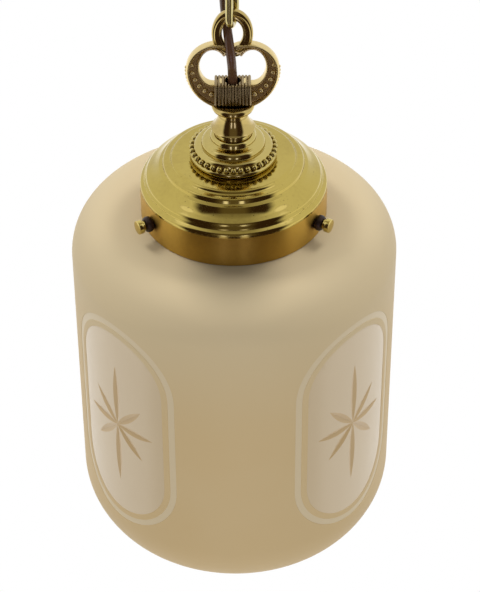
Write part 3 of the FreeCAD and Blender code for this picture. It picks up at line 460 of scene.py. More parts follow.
def trace(outline: Sequence[Corner], step: float = 6.0, closed: bool = True) -> List[Point]:
    """The points of an outline of straight lines and arcs.

    Args:
        outline: Corners as (radius, height) or (radius, height, bend of the arc that leads there).
        step: Degrees from point to point on an arc.
        closed: Whether the last corner leads back to the first.

    Returns:
        The points in order.
    """
    points: List[Point] = []
    for index, here in enumerate(outline):
        points.append((here[0], here[1]))
        if index + 1 == len(outline) and not closed:
            break
        there = outline[(index + 1) % len(outline)]
        if len(there) > 2:
            points += arc_points((here[0], here[1]), (there[0], there[1]), there[2], step)
    return points


def blunt(points: Sequence[Point], amount: float, least: float = 22.0,
          most: float = 0.42) -> List[Point]:
    """Rounds the corners of a closed outline a little.

    Args:
        points: The outline.
        amount: How far from a corner the rounding starts.
        least: Turns under this many degrees stay.
        most: The largest share of a side that a rounding may take.

    Returns:
        The rounded outline.
    """
    result: List[Point] = []
    for index, point in enumerate(points):
        here = Vector(point)
        back = Vector(points[index - 1]) - here
        ahead = Vector(points[(index + 1) % len(points)]) - here
        turn = math.degrees(math.pi - back.angle(ahead, math.pi))
        if turn < least or here.x < TINY:
            result.append(point)
            continue
        first = here + back.normalized() * min(amount, back.length * most)
        last = here + ahead.normalized() * min(amount, ahead.length * most)
        for share in (0.0, 0.33, 0.67, 1.0):
            bent = first.lerp(here, share).lerp(here.lerp(last, share), share)
            result.append((bent.x, bent.y))
    return result


@dataclass
class Body:
    """A mesh in the making, in millimetres."""

    points: List[Tuple[float, float, float]] = field(default_factory=list)
    faces: List[Tuple[int, ...]] = field(default_factory=list)
    marks: List[int] = field(default_factory=list)

    def turn(self, outline: Sequence[Point], level: float, count: int = 160,
             closed: bool = True, mark: Union[int, Callable[[float, float], int]] = 0) -> "Body":
        """Turns an outline about the upright axis.

        Args:
            outline: (radius, height) points.
            level: Height of the outline's zero.
            count: Steps round the axis.
            closed: Whether the last point joins the first.
            mark: Material number, or what gives it from a face's radius and height.

        Returns:
            Itself.
        """
        rings: List[List[int]] = []
        for radius, height in outline:
            steps = 1 if radius < TINY else count
            rings.append(list(range(len(self.points), len(self.points) + steps)))
            for k in range(steps):
                turn = 2 * math.pi * k / count
                self.points.append((radius * math.sin(turn), -radius * math.cos(turn),
                                    level + height))
        for index in range(len(outline) - (0 if closed else 1)):
            following = (index + 1) % len(outline)
            low, high = rings[index], rings[following]
            if len(low) == len(high) == 1:
                continue
            number = mark if isinstance(mark, int) else mark(
                (outline[index][0] + outline[following][0]) / 2,
                (outline[index][1] + outline[following][1]) / 2)
            for k in range(count):
                corners = [low[k % len(low)], low[(k + 1) % len(low)],
                           high[(k + 1) % len(high)], high[k % len(high)]]
                self.faces.append(tuple(dict.fromkeys(corners)))
                self.marks.append(number)
        return self

    def sweep(self, path: Sequence[Vector], radius: float, around: int = 20,
              closed: bool = False) -> "Body":
        """Sweeps a circle along a path.

        Args:
            path: Its points, in millimetres.
            radius: The circle.
            around: Steps round the circle.
            closed: Whether the path is a loop.

        Returns:
            Itself.
        """
        count = len(path)
        rings: List[List[Vector]] = []
        side: Optional[Vector] = None
        for index, point in enumerate(path):
            before = path[index - 1] if closed or index else point
            after = path[(index + 1) % count] if closed or index + 1 < count else point
            ahead = (after - before).normalized()
            if side is None:
                side = ahead.orthogonal().normalized()
            side = (side - ahead * side.dot(ahead)).normalized()
            up = ahead.cross(side)
            rings.append([point + side * (radius * math.cos(turn)) + up * (radius * math.sin(turn))
                          for turn in circle(around)])
        return self.loft(rings, closed)

    def loft(self, rings: Sequence[Sequence[Vector]], closed: bool = True) -> "Body":
        """Joins closed rings of equally many points.

        Args:
            rings: The rings, in millimetres.
            closed: Joins the last ring with the first; otherwise both get an end face.

        Returns:
            Itself.
        """
        start, count = len(self.points), len(rings[0])
        self.points += [tuple(point) for ring in rings for point in ring]
        rows = len(rings) if closed else len(rings) - 1
        for row in range(rows):
            low, high = start + row * count, start + (row + 1) % len(rings) * count
            for k in range(count):
                after = (k + 1) % count
                self.faces.append((low + k, low + after, high + after, high + k))
        if not closed:
            end = start + rows * count
            self.faces += [tuple(range(start, start + count)), tuple(range(end, end + count))]
        self.marks += [0] * (len(self.faces) - len(self.marks))
        return self

    def paint(self, first: int, mark: int) -> int:
        """Marks the faces from one on, and gives how many faces there are."""
        self.marks[first:] = [mark] * (len(self.marks) - first)
        return len(self.marks)

    def ball(self, middle: Vector, radius: float, detail: int = 3) -> "Body":
        """Adds a ball.

        Args:
            middle: Its middle.
            radius: Its radius.
            detail: How finely it is divided.

        Returns:
            Itself.
        """
        shape = bmesh.new()
        bmesh.ops.create_icosphere(shape, subdivisions=detail, radius=radius)
        start = len(self.points)
        self.points += [tuple(vertex.co + middle) for vertex in shape.verts]
        for face in shape.faces:
            self.faces.append(tuple(start + vertex.index for vertex in face.verts))
            self.marks.append(0)
        shape.free()
        return self

    def piece(self, name: str, body: Optional[str], *finishes: Finish, sharp: float = 32.0,
              weld: float = 0.0, place: Optional[Matrix] = None) -> bpy.types.Object:
        """Makes the object.

        Args:
            name: Its name.
            body: The body that it rides on, if any.
            *finishes: One finish for each mark.
            sharp: Edges that turn more than this many degrees stay crisp.
            weld: Joins points nearer than this.
            place: Where it goes, in millimetres.

        Returns:
            The object.
        """
        mesh = bpy.data.meshes.new(name)
        spots = [Vector(point) for point in self.points]
        if place is not None:
            spots = [place @ spot for spot in spots]
        mesh.from_pydata([tuple(spot * MM) for spot in spots], [], self.faces)
        mesh.polygons.foreach_set("material_index", self.marks)
        shape = bmesh.new()
        shape.from_mesh(mesh)
        if weld > 0:
            bmesh.ops.remove_doubles(shape, verts=shape.verts, dist=weld * MM)
        bmesh.ops.recalc_face_normals(shape, faces=shape.faces)
        shape.to_mesh(mesh)
        shape.free()
        mesh.polygons.foreach_set("use_smooth", [True] * len(mesh.polygons))
        mesh.set_sharp_from_angle(angle=math.radians(sharp))
        for finish in finishes:
            mesh.materials.append(finish.material())
        thing = put(name, mesh)
        if body is not None:
            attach(thing, body)
        LOG.info("%s: %d faces", name, len(mesh.polygons))
        return thing


def dress(finish: Finish, *nodes: str) -> None:
    """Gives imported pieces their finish.

    Args:
        finish: The finish.
        *nodes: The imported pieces.
    """
    for node in nodes:
        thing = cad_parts[node]
        if not thing.material_slots:
            thing.data.materials.append(finish.material())
        for slot in thing.material_slots:
            slot.material = finish.material()
        LOG.info("%s: dressed", node)


# Sub-assemblies


class CeilingFitting:
    """Plate, rose, hook, collar, wiring block and bush."""

    def build(self) -> None:
        """Dresses the ceiling fitting."""
        dress(Finish.STEEL, "ceiling_plate", "rose_grub_screw", "clamp_screw_1", "clamp_screw_2")
        dress(Finish.TRIM, "ceiling_rose", "ceiling_hook", "rose_collar")
        dress(Finish.WHITE, "terminal_block")
        dress(Finish.BLACK, "flex_bush")


@dataclass
class Chain:
    """Three wire links, each resting on the bar of the next."""

    pitch: float = 36.0
    wire: float = 2.5
    half: float = 8.0
    gap: float = 0.2
    bar: float = -178.4
    turns: Tuple[float, float, float] = (76.4, 0.0, 90.0)

    def path(self) -> List[Vector]:
        """The middle line of an upright link whose lower bar is at zero."""
        straight = self.pitch + 2 * self.wire + self.gap - 2 * self.half
        points = []
        for level, first in ((self.half, 180), (self.half + straight, 0)):
            for step in range(0, 181, 10):
                turn = math.radians(first + step)
                points.append(Vector((self.half * math.cos(turn), 0,
                                      level + self.half * math.sin(turn))))
        return points

    def build(self) -> None:
        """Builds the three links."""
        for number, turn in enumerate(self.turns, start=1):
            place = (Matrix.Translation((0, 0, self.bar + self.pitch * (number - 1)))
                     @ Matrix.Rotation(math.radians(turn), 4, "Z"))
            link = Body().sweep(self.path(), self.wire, 24, closed=True).piece(
                "link_%d" % number, "link_%d" % number, Finish.CHAIN, place=place)
            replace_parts(link, "chain_link_%d" % number)


@dataclass
class Flex:
    """The brown flex: four free stretches, one across each hinge of the chain."""

    diameter: float = 6.0
    foot: float = FOOT
    route: Tuple[Tuple[float, float, float], ...] = (
        (0.0, 0.0, 27.0),
        (0.0, -0.4, 39.0),
        (-0.8, -10.0, 60.0),
        (-4.4, 9.6, 79.5),
        (-5.6, 8.4, 101.0),
        (-6.9, 9.5, 124.0),
        (-5.9, 8.3, 147.0),
        (-7.3, 9.4, 170.0),
        (-6.9, 8.3, 193.0),
        (-9.4, 8.6, 214.0),
        (-9.6, 8.4, 231.0),
        (-9.5, 8.5, 246.5),
    )
    cuts: Tuple[int, int, int] = (3, 5, 7)

    def stretches(self) -> List[List[Vector]]:
        """The route's points for each stretch, in millimetres."""
        points = [Vector((x, y, z + self.foot)) for x, y, z in self.route]
        halves = [(points[cut] + points[cut + 1]) / 2 for cut in self.cuts]
        first, second, third = halves
        return [points[:4] + [first], [first] + points[4:6] + [second],
                [second] + points[6:8] + [third], [third] + points[8:]]

    def line(self, name: str, points: Sequence[Vector]) -> List[Vector]:
        """The smooth line of one stretch.

        Args:
            name: The stretch.
            points: Its route.

        Returns:
            Points along its NURBS spline, in millimetres.
        """
        curve = bpy.data.curves.new(name + "_line", "CURVE")
        curve.dimensions = "3D"
        curve.resolution_u = 16
        spline = curve.splines.new("NURBS")
        spline.points.add(len(points) - 1)
        for spot, point in zip(spline.points, points):
            spot.co = (*(point * MM), 1.0)
        spline.order_u = 3
        spline.use_endpoint_u = True
        holder = put(name + "_line", curve)
        bpy.context.view_layer.update()
        mesh = bpy.data.meshes.new_from_object(holder)
        found = [vertex.co / MM for vertex in mesh.vertices]
        bpy.data.objects.remove(holder)
        bpy.data.meshes.remove(mesh)
        return found

    def build(self) -> None:
        """Builds the four stretches."""
        joins = (("lamp", "link_1", -190.0, -168.5), ("link_1", "link_2", -166.0, -124.0),
                 ("link_2", "link_3", -121.0, -78.0), ("link_3", "ceiling", -75.5, -46.0))
        for number, (points, join) in enumerate(zip(self.stretches(), joins), start=1):
            name = "flex_%d" % number
            line = self.line(name, points)
            lower, upper, start, end = join
            cord = Body().sweep(line, self.diameter / 2, 24).piece(name, None, Finish.FLEX)
            exit_at = Vector((0, 0, -221.3)) if number == 1 else points[0]
            tuple(exit_at * MM)
            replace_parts(cord, "flex_stretch_%d" % number)
            low = min(line, key=lambda spot: abs(spot.z - start))
            high = min(line, key=lambda spot: abs(spot.z - end))
            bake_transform(cord)
        dress(Finish.FLEX, "flex_inside")


@dataclass
class Trefoil:
    """Cast piece of foot, knob, fluted barrel, two beaded loops and top ring.

    The loops' hole joins five ovals: the opening as x, z, half width and half height, on both
    sides, the bridge between them, the saddle that clears the barrel up to its level, and the
    funnel that frees the bore. Rim and lip are profiles of (drawn in, depth). Angles and radii
    of beads are the first one and what each next one adds, and their reach adds by the degree.
    The ring is its half width and half height and those of its hole; the barrel is its width,
    depth, foot and top.
    """

    bore: float = 5.1
    loop: float = 30.0
    lobe: float = 20.4
    middle: float = 45.0
    heart: float = 46.0
    steps: int = 360
    opening: Tuple[float, float, float, float] = (12.6, 48.2, 8.6, 13.0)
    bridge: float = 11.0
    saddle: Point = (16.0, 44.2)
    funnel: Tuple[float, float, float] = (34.0, 5.6, 13.0)
    rim: Tuple[Point, ...] = ((3.6, 1.95), (2.75, 2.0), (2.6, 2.8), (2.2, 3.5), (1.6, 3.8),
                              (1.0, 3.6), (0.4, 3.0), (0.1, 2.2), (0.0, 1.0))
    lip: Tuple[Point, ...] = ((-1.8, 2.0), (-1.6, 2.8), (-1.25, 3.3), (-0.8, 3.4),
                              (-0.35, 3.1), (-0.05, 2.3), (0.0, 1.0))
    web: Tuple[float, float, float] = (1.5, -0.6, 2.02)
    beads: int = 7
    bead_angle: Point = (22.5, -12.4)
    bead_reach: Point = (25.9, 0.07)
    bead_radius: Point = (1.35, 0.11)
    bead_depth: float = 2.1
    rope: int = 13
    rope_angle: Point = (4.0, -5.0)
    rope_reach: float = 29.65
    rope_radius: float = 1.15
    ring: Tuple[float, float, float, float] = (13.2, 17.4, 6.6, 9.9)
    ring_middle: float = 72.5
    ring_depth: float = 2.75
    ring_square: Point = (0.75, 0.6)
    ridges: Point = (0.34, 0.66)
    ridge_half: float = 0.09
    ridge_tall: float = 0.5
    barrel: Tuple[float, float, float, float] = (23.6, 15.2, 20.6, 36.8)
    barrel_round: float = 2.2
    flutes: int = 11
    flute_depth: float = 1.3
    flute_full: float = 0.97

    def cast(self, shapes: Sequence[Tuple[float, float, float, float, float]]) -> List[Vector]:
        """The outline of overlapping ovals, found by rays from the middle of the loops.

        Args:
            shapes: Each oval as middle x and z, half width, half height and highest level.

        Returns:
            The outline, as points in the plane y = 0.
        """
        found = []
        for turn in circle(self.steps):
            across, up = math.cos(turn), math.sin(turn)
            reach = 0.0
            for x, z, wide, high, top in shapes:
                ax, az = -x / wide, (self.heart - z) / high
                bx, bz = across / wide, up / high
                a, b, c = bx * bx + bz * bz, ax * bx + az * bz, ax * ax + az * az - 1
                if b * b - a * c < 0:
                    continue
                far = (-b + math.sqrt(b * b - a * c)) / a
                if self.heart + up * far <= top + MM:
                    reach = max(reach, far)
            found.append(Vector((across * reach, 0, self.heart + up * reach)))
        return found

    @staticmethod
    def drawn(outline: Sequence[Vector], inward: float, front: float) -> List[Vector]:
        """An outline drawn in by a distance and moved to the front or back.

        Args:
            outline: The outline.
            inward: How far it is drawn in.
            front: Its place along Y.

        Returns:
            The new outline, lifted to the trefoil's foot.
        """
        count = len(outline)
        made = []
        for k, point in enumerate(outline):
            along = (outline[(k + 2) % count] - outline[k - 2]).normalized()
            made.append(point + Vector((-along.z * inward, front, along.x * inward + FOOT)))
        return made

    def loops(self, shape: Body) -> None:
        """Adds the two loops: a rounded rim, a sunken web, an inner lip and the beads."""
        lobe = self.loop - self.lobe
        outer = self.cast([(0, self.middle, self.loop, self.loop, self.heart),
                           (-lobe, self.middle, self.lobe, self.lobe, math.inf),
                           (lobe, self.middle, self.lobe, self.lobe, math.inf)])
        x, z, wide, high = self.opening
        inner = self.cast([(-x, z, wide, high, math.inf), (x, z, wide, high, math.inf),
                           (0, z, wide, self.bridge, math.inf),
                           (0, z, self.saddle[0], high, self.saddle[1]),
                           (0, *self.funnel, math.inf)])
        first = len(shape.marks)
        for outline, profile in ((outer, self.rim), (inner, self.lip)):
            shape.loft([self.drawn(outline, a, -y) for a, y in profile]
                       + [self.drawn(outline, a, y) for a, y in reversed(profile)])
        first = shape.paint(first, 2)
        near, far, depth = self.web
        shape.loft([self.drawn(outer, near, -depth), self.drawn(inner, far, -depth),
                    self.drawn(inner, far, depth), self.drawn(outer, near, depth)])
        first = shape.paint(first, 1)
        spots = []
        for k in range(self.beads):
            angle, radius = (least + more * k for least, more in (
                self.bead_angle, self.bead_radius))
            reach = self.bead_reach[0] + self.bead_reach[1] * angle
            spots.append((angle, reach, (-self.bead_depth, self.bead_depth), radius))
        spots += [(self.rope_angle[0] + self.rope_angle[1] * k, self.rope_reach, (0.0,),
                   self.rope_radius) for k in range(self.rope)]
        for angle, reach, depths, radius in spots:
            turn = math.radians(angle)
            for mirror in (-1, 1):
                for y in depths:
                    shape.ball(Vector((mirror * reach * math.cos(turn), y,
                                       FOOT + self.middle + reach * math.sin(turn))), radius)
        shape.paint(first, 2)

    def top_ring(self, shape: Body) -> None:
        """Adds the ring that the chain carries, with two fine ridges on each face."""
        wide, high, bore_wide, bore_high = self.ring
        rings = []
        for turn in circle(48):
            across, out = math.cos(turn), math.sin(turn)
            share = 0.5 + 0.5 * math.copysign(abs(across) ** self.ring_square[0], across)
            depth = self.ring_depth * math.copysign(abs(out) ** self.ring_square[1], out)
            for ridge in self.ridges:
                near = max(0.0, 1 - ((share - ridge) / self.ridge_half) ** 2)
                depth += math.copysign(self.ridge_tall * near, depth)
            a = bore_wide + (wide - bore_wide) * share
            b = bore_high + (high - bore_high) * share
            rings.append([Vector((a * math.cos(t), depth, FOOT + self.ring_middle
                                  + b * math.sin(t))) for t in circle(192)])
        shape.loft(rings)

    def fluted(self) -> Body:
        """The fluted barrel, as a section that swells at each flute along X."""
        wide, deep, low, top = self.barrel
        pitch, soft, steps = wide / self.flutes, self.barrel_round, 8
        side, upper, lower = deep / 2 - soft, top - soft, low + soft
        corners = ((side, upper), (-side, upper), (-side, lower), (side, lower))
        rings = []
        for flute in range(self.flutes):
            for k in range(steps + 1):
                share = -1 + 2 * k / steps
                x = -wide / 2 + pitch * (flute + 0.5 + 0.5 * share)
                round_top = math.sqrt(max(0.0, 1 - (share * self.flute_full) ** 2))
                reach = soft + self.flute_depth * (round_top - 1)
                ring = []
                for number, (y, z) in enumerate(corners):
                    for step in range(steps + 1):
                        turn = math.radians(90 * (number + step / steps))
                        ring.append(Vector((x, y + reach * math.cos(turn),
                                            FOOT + z + reach * math.sin(turn))))
                rings.append(ring)
        return Body().loft(rings, closed=False)

    def build(self) -> None:
        """Builds the piece."""
        shape = Body().turn(blunt(trace([
            (self.bore, 0), (13.9, 0), (14.4, 0.5), (14.4, 1.3), (13.2, 2.2), (9.8, 9.8, -19.0),
            (9.8, 10.4), (9.0, 11.0), (9.0, 14.2), (11.8, 15.0), (11.8, 20.2, 2.65),
            (self.bore, 20.2)]), 0.25), FOOT, 160)
        self.loops(shape)
        self.top_ring(shape)
        # The third finish goes on rims, lips and beads as a painted highlight.
        piece = shape.piece("casting", "lamp", Finish.CAST, Finish.CAST_WEB, Finish.CAST_RIM)
        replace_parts(piece, "trefoil")
        barrel = self.fluted().piece("casting_barrel", "lamp", Finish.CAST_BARREL, sharp=60.0)
        rod = [(0.0, 10.0), (self.bore, 10.0), (self.bore, 45.0), (0.0, 45.0)]
        hole = Body().turn(rod, FOOT, 64).piece("hole", None, Finish.CAST, weld=0.002)
        cut = barrel.modifiers.new("Bore", "BOOLEAN")
        cut.operation = "DIFFERENCE"
        cut.object = hole
        cut.solver = "EXACT"
        bpy.context.view_layer.update()
        ready = barrel.evaluated_get(bpy.context.evaluated_depsgraph_get())
        mesh = bpy.data.meshes.new_from_object(ready)
        mesh.set_sharp_from_angle(angle=math.radians(50))
        barrel.modifiers.clear()
        barrel.data = mesh
        bpy.data.objects.remove(hole)


@dataclass
class Cap:
    """Three rolls over a ring of beads."""

    radius: float = 27.2
    bead: float = 1.9
    bead_ring: float = 27.3
    bead_level: float = 6.1
    beads: int = 36

    def outline(self) -> List[Point]:
        """The turned outline, seen from the axis outwards."""
        r = self.radius
        return blunt(trace([
            (r - 3.2, 0), (r, 0), (r, 3.7, 1.9), (r - 0.9, 4.2), (r - 0.9, 6.6),
            (r - 3.9, 9.8, 3.3), (r - 6.1, 9.5), (r - 6.2, 10.4), (r - 9.6, 13.5, 3.4),
            (r - 12.0, 14.3), (r - 12.1, 15.2), (r - 15.0, 18.1, 2.9), (r - 15.2, 18.3),
            (r - 15.2, 21.4), (BORE, 21.4), (BORE, 16.6), (r - 15.2, 16.6), (r - 13.6, 15.0),
            (r - 13.3, 13.0), (r - 10.2, 12.1), (r - 7.6, 9.9), (r - 7.2, 8.4),
            (r - 4.2, 8.4), (r - 2.2, 6.2), (r - 2.2, 2.0)]), 0.2)

    def build(self) -> None:
        """Builds the cap and its beads."""
        shape = Body().turn(self.outline(), CAP, 192)
        for turn in circle(self.beads):
            shape.ball(Vector((self.bead_ring * math.cos(turn), self.bead_ring * math.sin(turn),
                               CAP + self.bead_level)), self.bead)
        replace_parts(shape.piece("cap", "lamp", Finish.CAP), "stepped_cap")


@dataclass
class Gallery:
    """Spun brass dome of four rolls over a satin band, with its rod and nuts."""

    band: float = 62.1
    top: float = 22.2
    deck: float = 44.2
    wall: float = 1.2

    def outline(self) -> List[Point]:
        """The turned outline, from the band's lower edge outwards and up."""
        b, t, d = self.band, self.top, self.deck
        return blunt(trace([
            (b - self.wall, 0), (b, 0), (b, t), (b, t + 1.2), (b - 1.2, t + 3.3, 2.4),
            (b - 2.7, t + 4.3), (b - 2.7, t + 5.1), (b - 3.4, t + 5.9), (b - 4.0, t + 6.6),
            (b - 5.0, t + 8.5, 2.4), (b - 10.8, t + 12.8, -20.0), (b - 12.9, t + 15.1),
            (b - 15.2, t + 16.1), (b - 15.5, t + 17.7), (b - 17.1, t + 19.4, 2.2),
            (b - 19.8, t + 19.7), (b - 20.7, t + 20.4), (b - 22.9, d, 2.4), (BORE, d),
            (BORE, d - 1.1), (b - 23.3, d - 1.1), (b - 20.6, t + 18.8), (b - 17.5, t + 18.4),
            (b - 16.6, t + 17.6), (b - 16.3, t + 15.5), (b - 13.9, t + 14.4),
            (b - 11.6, t + 12.1), (b - 8.8, t + 9.5), (b - 5.7, t + 7.5), (b - 5.1, t + 6.3),
            (b - 3.9, t + 4.4), (b - 3.0, t + 3.3), (b - 1.9, t + 2.4),
            (b - self.wall, t + 1.0)]), 0.2)

    def build(self) -> None:
        """Builds the gallery and dresses what ties it together."""
        shape = Body().turn(self.outline(), RIM, 256,
                            mark=lambda radius, height: int(height < self.top + 0.1))
        piece = shape.piece("gallery_dome", "lamp", Finish.SPUN, Finish.SATIN_BAND)
        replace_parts(piece, "gallery")
        dress(Finish.STEEL, "threaded_rod", "gallery_washer", "rod_nut")


@dataclass
class Thumbscrews:
    """Three brass thumbscrews, each with a dark lock nut on the band."""

    tip: float = 57.3
    face: float = 73.0
    head: float = 4.7
    thick: float = 3.4
    thread: float = 2.0
    nut: float = 5.0
    nut_thick: float = 5.2
    nut_start: float = 62.35
    level: float = RIM + 11.9

    def place(self, number: int, start: float) -> Matrix:
        """Where an upright turned piece lies along a screw's radius.

        Args:
            number: The screw, from 0.
            start: How far out it starts.

        Returns:
            The placement.
        """
        azimuth = math.radians(-60 + 120 * number)
        outward = Vector((math.sin(azimuth), -math.cos(azimuth), 0))
        turn = outward.to_track_quat("Z", "Y").to_matrix().to_4x4()
        return Matrix.Translation(outward * start + Vector((0, 0, self.level))) @ turn

    def build(self) -> None:
        """Builds screws and nuts."""
        length, thick, head, bore = self.face - self.tip, self.thick, self.head, self.thread
        screw = blunt([(0, 0), (bore - 0.5, 0), (bore, 0.6), (bore, length - thick - 1.7),
                       (head - 1.3, length - thick - 1.7), (head - 1.3, length - thick),
                       (head, length - thick), (head, length), (0, length)], 0.45)
        nut = blunt(trace([(bore + 0.15, 0), (self.nut - 0.9, 0),
                           (self.nut - 0.9, self.nut_thick, 3.3),
                           (bore + 0.15, self.nut_thick)]), 0.4)
        for number in range(3):
            label = number + 1
            made = Body().turn(screw, 0, 48).piece(
                "screw_head_%d" % label, "screw_%d" % label, Finish.TRIM,
                place=self.place(number, self.tip))
            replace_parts(made, "thumbscrew_%d" % label)
            made = Body().turn(nut, 0, 48).piece(
                "dark_nut_%d" % label, "lamp", Finish.DARK_NUT,
                place=self.place(number, self.nut_start))
            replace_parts(made, "lock_nut_%d" % label)


@dataclass
class Net:
    """Points and edges that a flat mesh has to follow."""

    points: List[Vector] = field(default_factory=list)
    edges: List[Tuple[int, int]] = field(default_factory=list)

    def line(self, spots: Sequence[Point], closed: bool = True) -> None:
        """Adds a line.

        Args:
            spots: Its points.
            closed: Whether it is a loop.
        """
        start = len(self.points)
        self.points += [Vector(spot) for spot in spots]
        self.edges += [(start + k, start + k + 1) for k in range(len(spots) - 1)]
        if closed:
            self.edges.append((start + len(spots) - 1, start))


@dataclass
class Shade:
    """The glass: satin all over, with four polished panels, their lines and their stars.

    On a panel, u runs along the wall and v runs up from its middle.
    """

    radius: float = 110.0
    wall: float = 4.0
    shoulder: float = 28.8
    slope: float = 7.2
    wall_top: float = -32.0
    wall_height: float = 184.7
    heel: float = 51.0
    dome: float = 850.0
    neck: float = 57.0
    lip: float = 18.3
    middle: float = RIM - 126.2
    wide: float = 39.5
    straight: float = 40.0
    gap: float = 4.0
    line: float = 5.2
    depth: float = 0.25
    edge: float = 0.3
    turns: Tuple[float, ...] = (-47.0, 46.5, 135.5, 224.0)
    count: int = 720
    reach: int = 58
    star_tall: float = 53.0
    star_short: float = 32.0
    star_wide: float = 5.8
    star_slope: float = 0.3
    star_start: float = -1.0
    star_clear: float = 6.0
    rows: int = 40
    grid: int = 4
    clear: float = 1.7

    def spikes(self) -> List[Tuple[float, float]]:
        """Each spike of a star as (angle from upright, length)."""
        return [(45.0 * k, self.star_tall if k % 4 == 0 else self.star_short) for k in range(8)]

    def spike_half(self, along: float, length: float) -> float:
        """Half a spike's width at a distance along it; less than zero outside its ends."""
        share = along / length
        return self.star_wide / 2 * (1 - (2 * share - 1) ** 2) if 0 <= share <= 1 else -1.0

    def cut(self, u: float, v: float) -> float:
        """How deep the star is cut at a point of a panel.

        Args:
            u: Along the wall from the panel's middle.
            v: Up from the panel's middle.

        Returns:
            The depth in the panel's floor, or 0.
        """
        deepest = 0.0
        for angle, length in self.spikes():
            turn = math.radians(angle)
            along = u * math.sin(turn) + v * math.cos(turn) - self.star_start
            across = abs(u * math.cos(turn) - v * math.sin(turn))
            deepest = max(deepest, (self.spike_half(along, length) - across) * self.star_slope)
        return deepest

    def outside(self, u: float, v: float) -> float:
        """How far a point is from the upright middle line of a panel's stadium."""
        return math.hypot(u, max(abs(v) - self.straight, 0.0))

    def sunk(self, u: float, v: float) -> float:
        """How far the surface lies below the satin skin at a point of a panel."""
        far = self.outside(u, v)
        inner, outer = self.wide + self.gap, self.wide + self.gap + self.line
        for low, high in ((0.0, self.wide), (inner, outer)):
            if low <= far <= high:
                rise = min((far - low) / self.edge if low else 1.0, (high - far) / self.edge, 1.0)
                return self.depth * rise + (self.cut(u, v) if not low else 0.0)
        return 0.0

    def stadium(self, wide: float, bend: int = 40, side: int = 14) -> List[Point]:
        """The outline of a stadium.

        Args:
            wide: Its half width.
            bend: Steps round each end.
            side: Steps along each side.

        Returns:
            Its points.
        """
        points = []
        for way, first in ((1, 0.0), (-1, math.pi)):
            for k in range(bend + 1):
                turn = first + math.pi * k / bend
                points.append((wide * math.cos(turn),
                               way * self.straight + wide * math.sin(turn)))
            points += [(-way * wide, way * self.straight * (1 - 2 * k / side))
                       for k in range(1, side)]
        return points

    def leaning(self, angle: float, across: float, along: float) -> Point:
        """A point of a spike.

        Args:
            angle: Degrees that the spike leans from upright.
            across: How far the point is from the spike's middle line.
            along: How far it is from the spike's inner tip.

        Returns:
            The point on the panel.
        """
        turn, out = math.radians(angle), along + self.star_start
        return (out * math.sin(turn) + across * math.cos(turn),
                out * math.cos(turn) - across * math.sin(turn))

    def rings(self, steps: int = 20) -> List[List[Point]]:
        """Every closed line that a panel's mesh follows.

        Args:
            steps: Steps along a spike's side.

        Returns:
            The lines.
        """
        inner, outer = self.wide + self.gap, self.wide + self.gap + self.line
        lines = [self.stadium(wide) for wide in (
            self.wide, self.wide - self.edge, inner, inner + self.edge, outer - self.edge, outer)]
        for angle, length in self.spikes():
            sides = [(self.spike_half(length * k / steps, length), length * k / steps)
                     for k in range(steps + 1)]
            loop = sides + [(-half, along) for half, along in reversed(sides[1:-1])]
            lines.append([self.leaning(angle, half, along) for half, along in loop])
        return lines

    def mark(self, u: float, v: float) -> int:
        """Which glass a point of a panel has: satin, panel, line or star."""
        far = self.outside(u, v)
        inner = self.wide + self.gap
        if far < self.wide - self.edge:
            return 3 if self.cut(u, v) > TINY else 1
        return 2 if inner + self.edge < far < inner + self.line - self.edge else 0

    def panel(self, steps: int = 12) -> Tuple[List[Point], List[Tuple[int, ...]], List[int]]:
        """One panel's flat mesh.

        Args:
            steps: Steps along a spike's middle line.

        Returns:
            Its points, its faces and their marks.
        """
        pitch = 2 * math.pi * self.radius / self.count
        half = self.reach * pitch
        top = RIM + self.wall_top - self.middle
        low = top - self.wall_height
        levels = [(top - low) * k / self.rows for k in range(self.rows)]
        net = Net()
        net.line([(-half + pitch * k, low) for k in range(2 * self.reach)]
                 + [(half, low + level) for level in levels]
                 + [(half - pitch * k, top) for k in range(2 * self.reach)]
                 + [(-half, top - level) for level in levels])
        lines = self.rings()
        for line in lines:
            net.line(line)
        for angle, length in self.spikes():
            net.line([self.leaning(angle, 0.0, length * k / steps)
                      for k in range(1, steps + 1)], False)
        crowd = [point for line in lines for point in line]
        for level in levels[1:]:
            v = low + level
            for k in range(self.grid, 2 * self.reach, self.grid):
                u = -half + pitch * k
                if max(abs(u), abs(v)) >= self.star_clear and min(
                        (x - u) ** 2 + (y - v) ** 2 for x, y in crowd) > self.clear:
                    net.points.append(Vector((u, v)))
        spots, _, faces, *_ = delaunay_2d_cdt(net.points, net.edges, [], 0, 1e-4)
        marks = [self.mark(sum(spots[k].x for k in face) / len(face),
                           sum(spots[k].y for k in face) / len(face)) for face in faces]
        return [(spot.x, spot.y) for spot in spots], [tuple(face) for face in faces], marks

    def upper(self) -> List[Point]:
        """Outline above the straight wall, outside and inside, from the wall's top inwards."""
        r, t, s = self.radius, self.wall, self.shoulder
        high = self.wall_top
        lean = math.radians(self.slope)
        turn_x = r - s + s * math.sin(lean)
        turn_z = high + s * math.cos(lean)
        rise = turn_z + (turn_x - self.neck - 5.0) * math.tan(lean)
        return trace([
            (r, high), (turn_x, turn_z, s), (self.neck + 5.0, rise),
            (self.neck, rise + 4.5, -5.0), (self.neck, self.lip - 4.0),
            (self.neck + 1.3, self.lip - 3.2), (self.neck + 1.3, self.lip - 1.0),
            (self.neck, self.lip, 1.6), (self.neck - t, self.lip - 1.0, 2.3),
            (self.neck - t, rise + 1.0), (self.neck + 5.0, rise - t, 9.4),
            (turn_x - t * math.sin(lean), turn_z - t * math.cos(lean)),
            (r - t, high, -(s - t))], 3.0, closed=False)

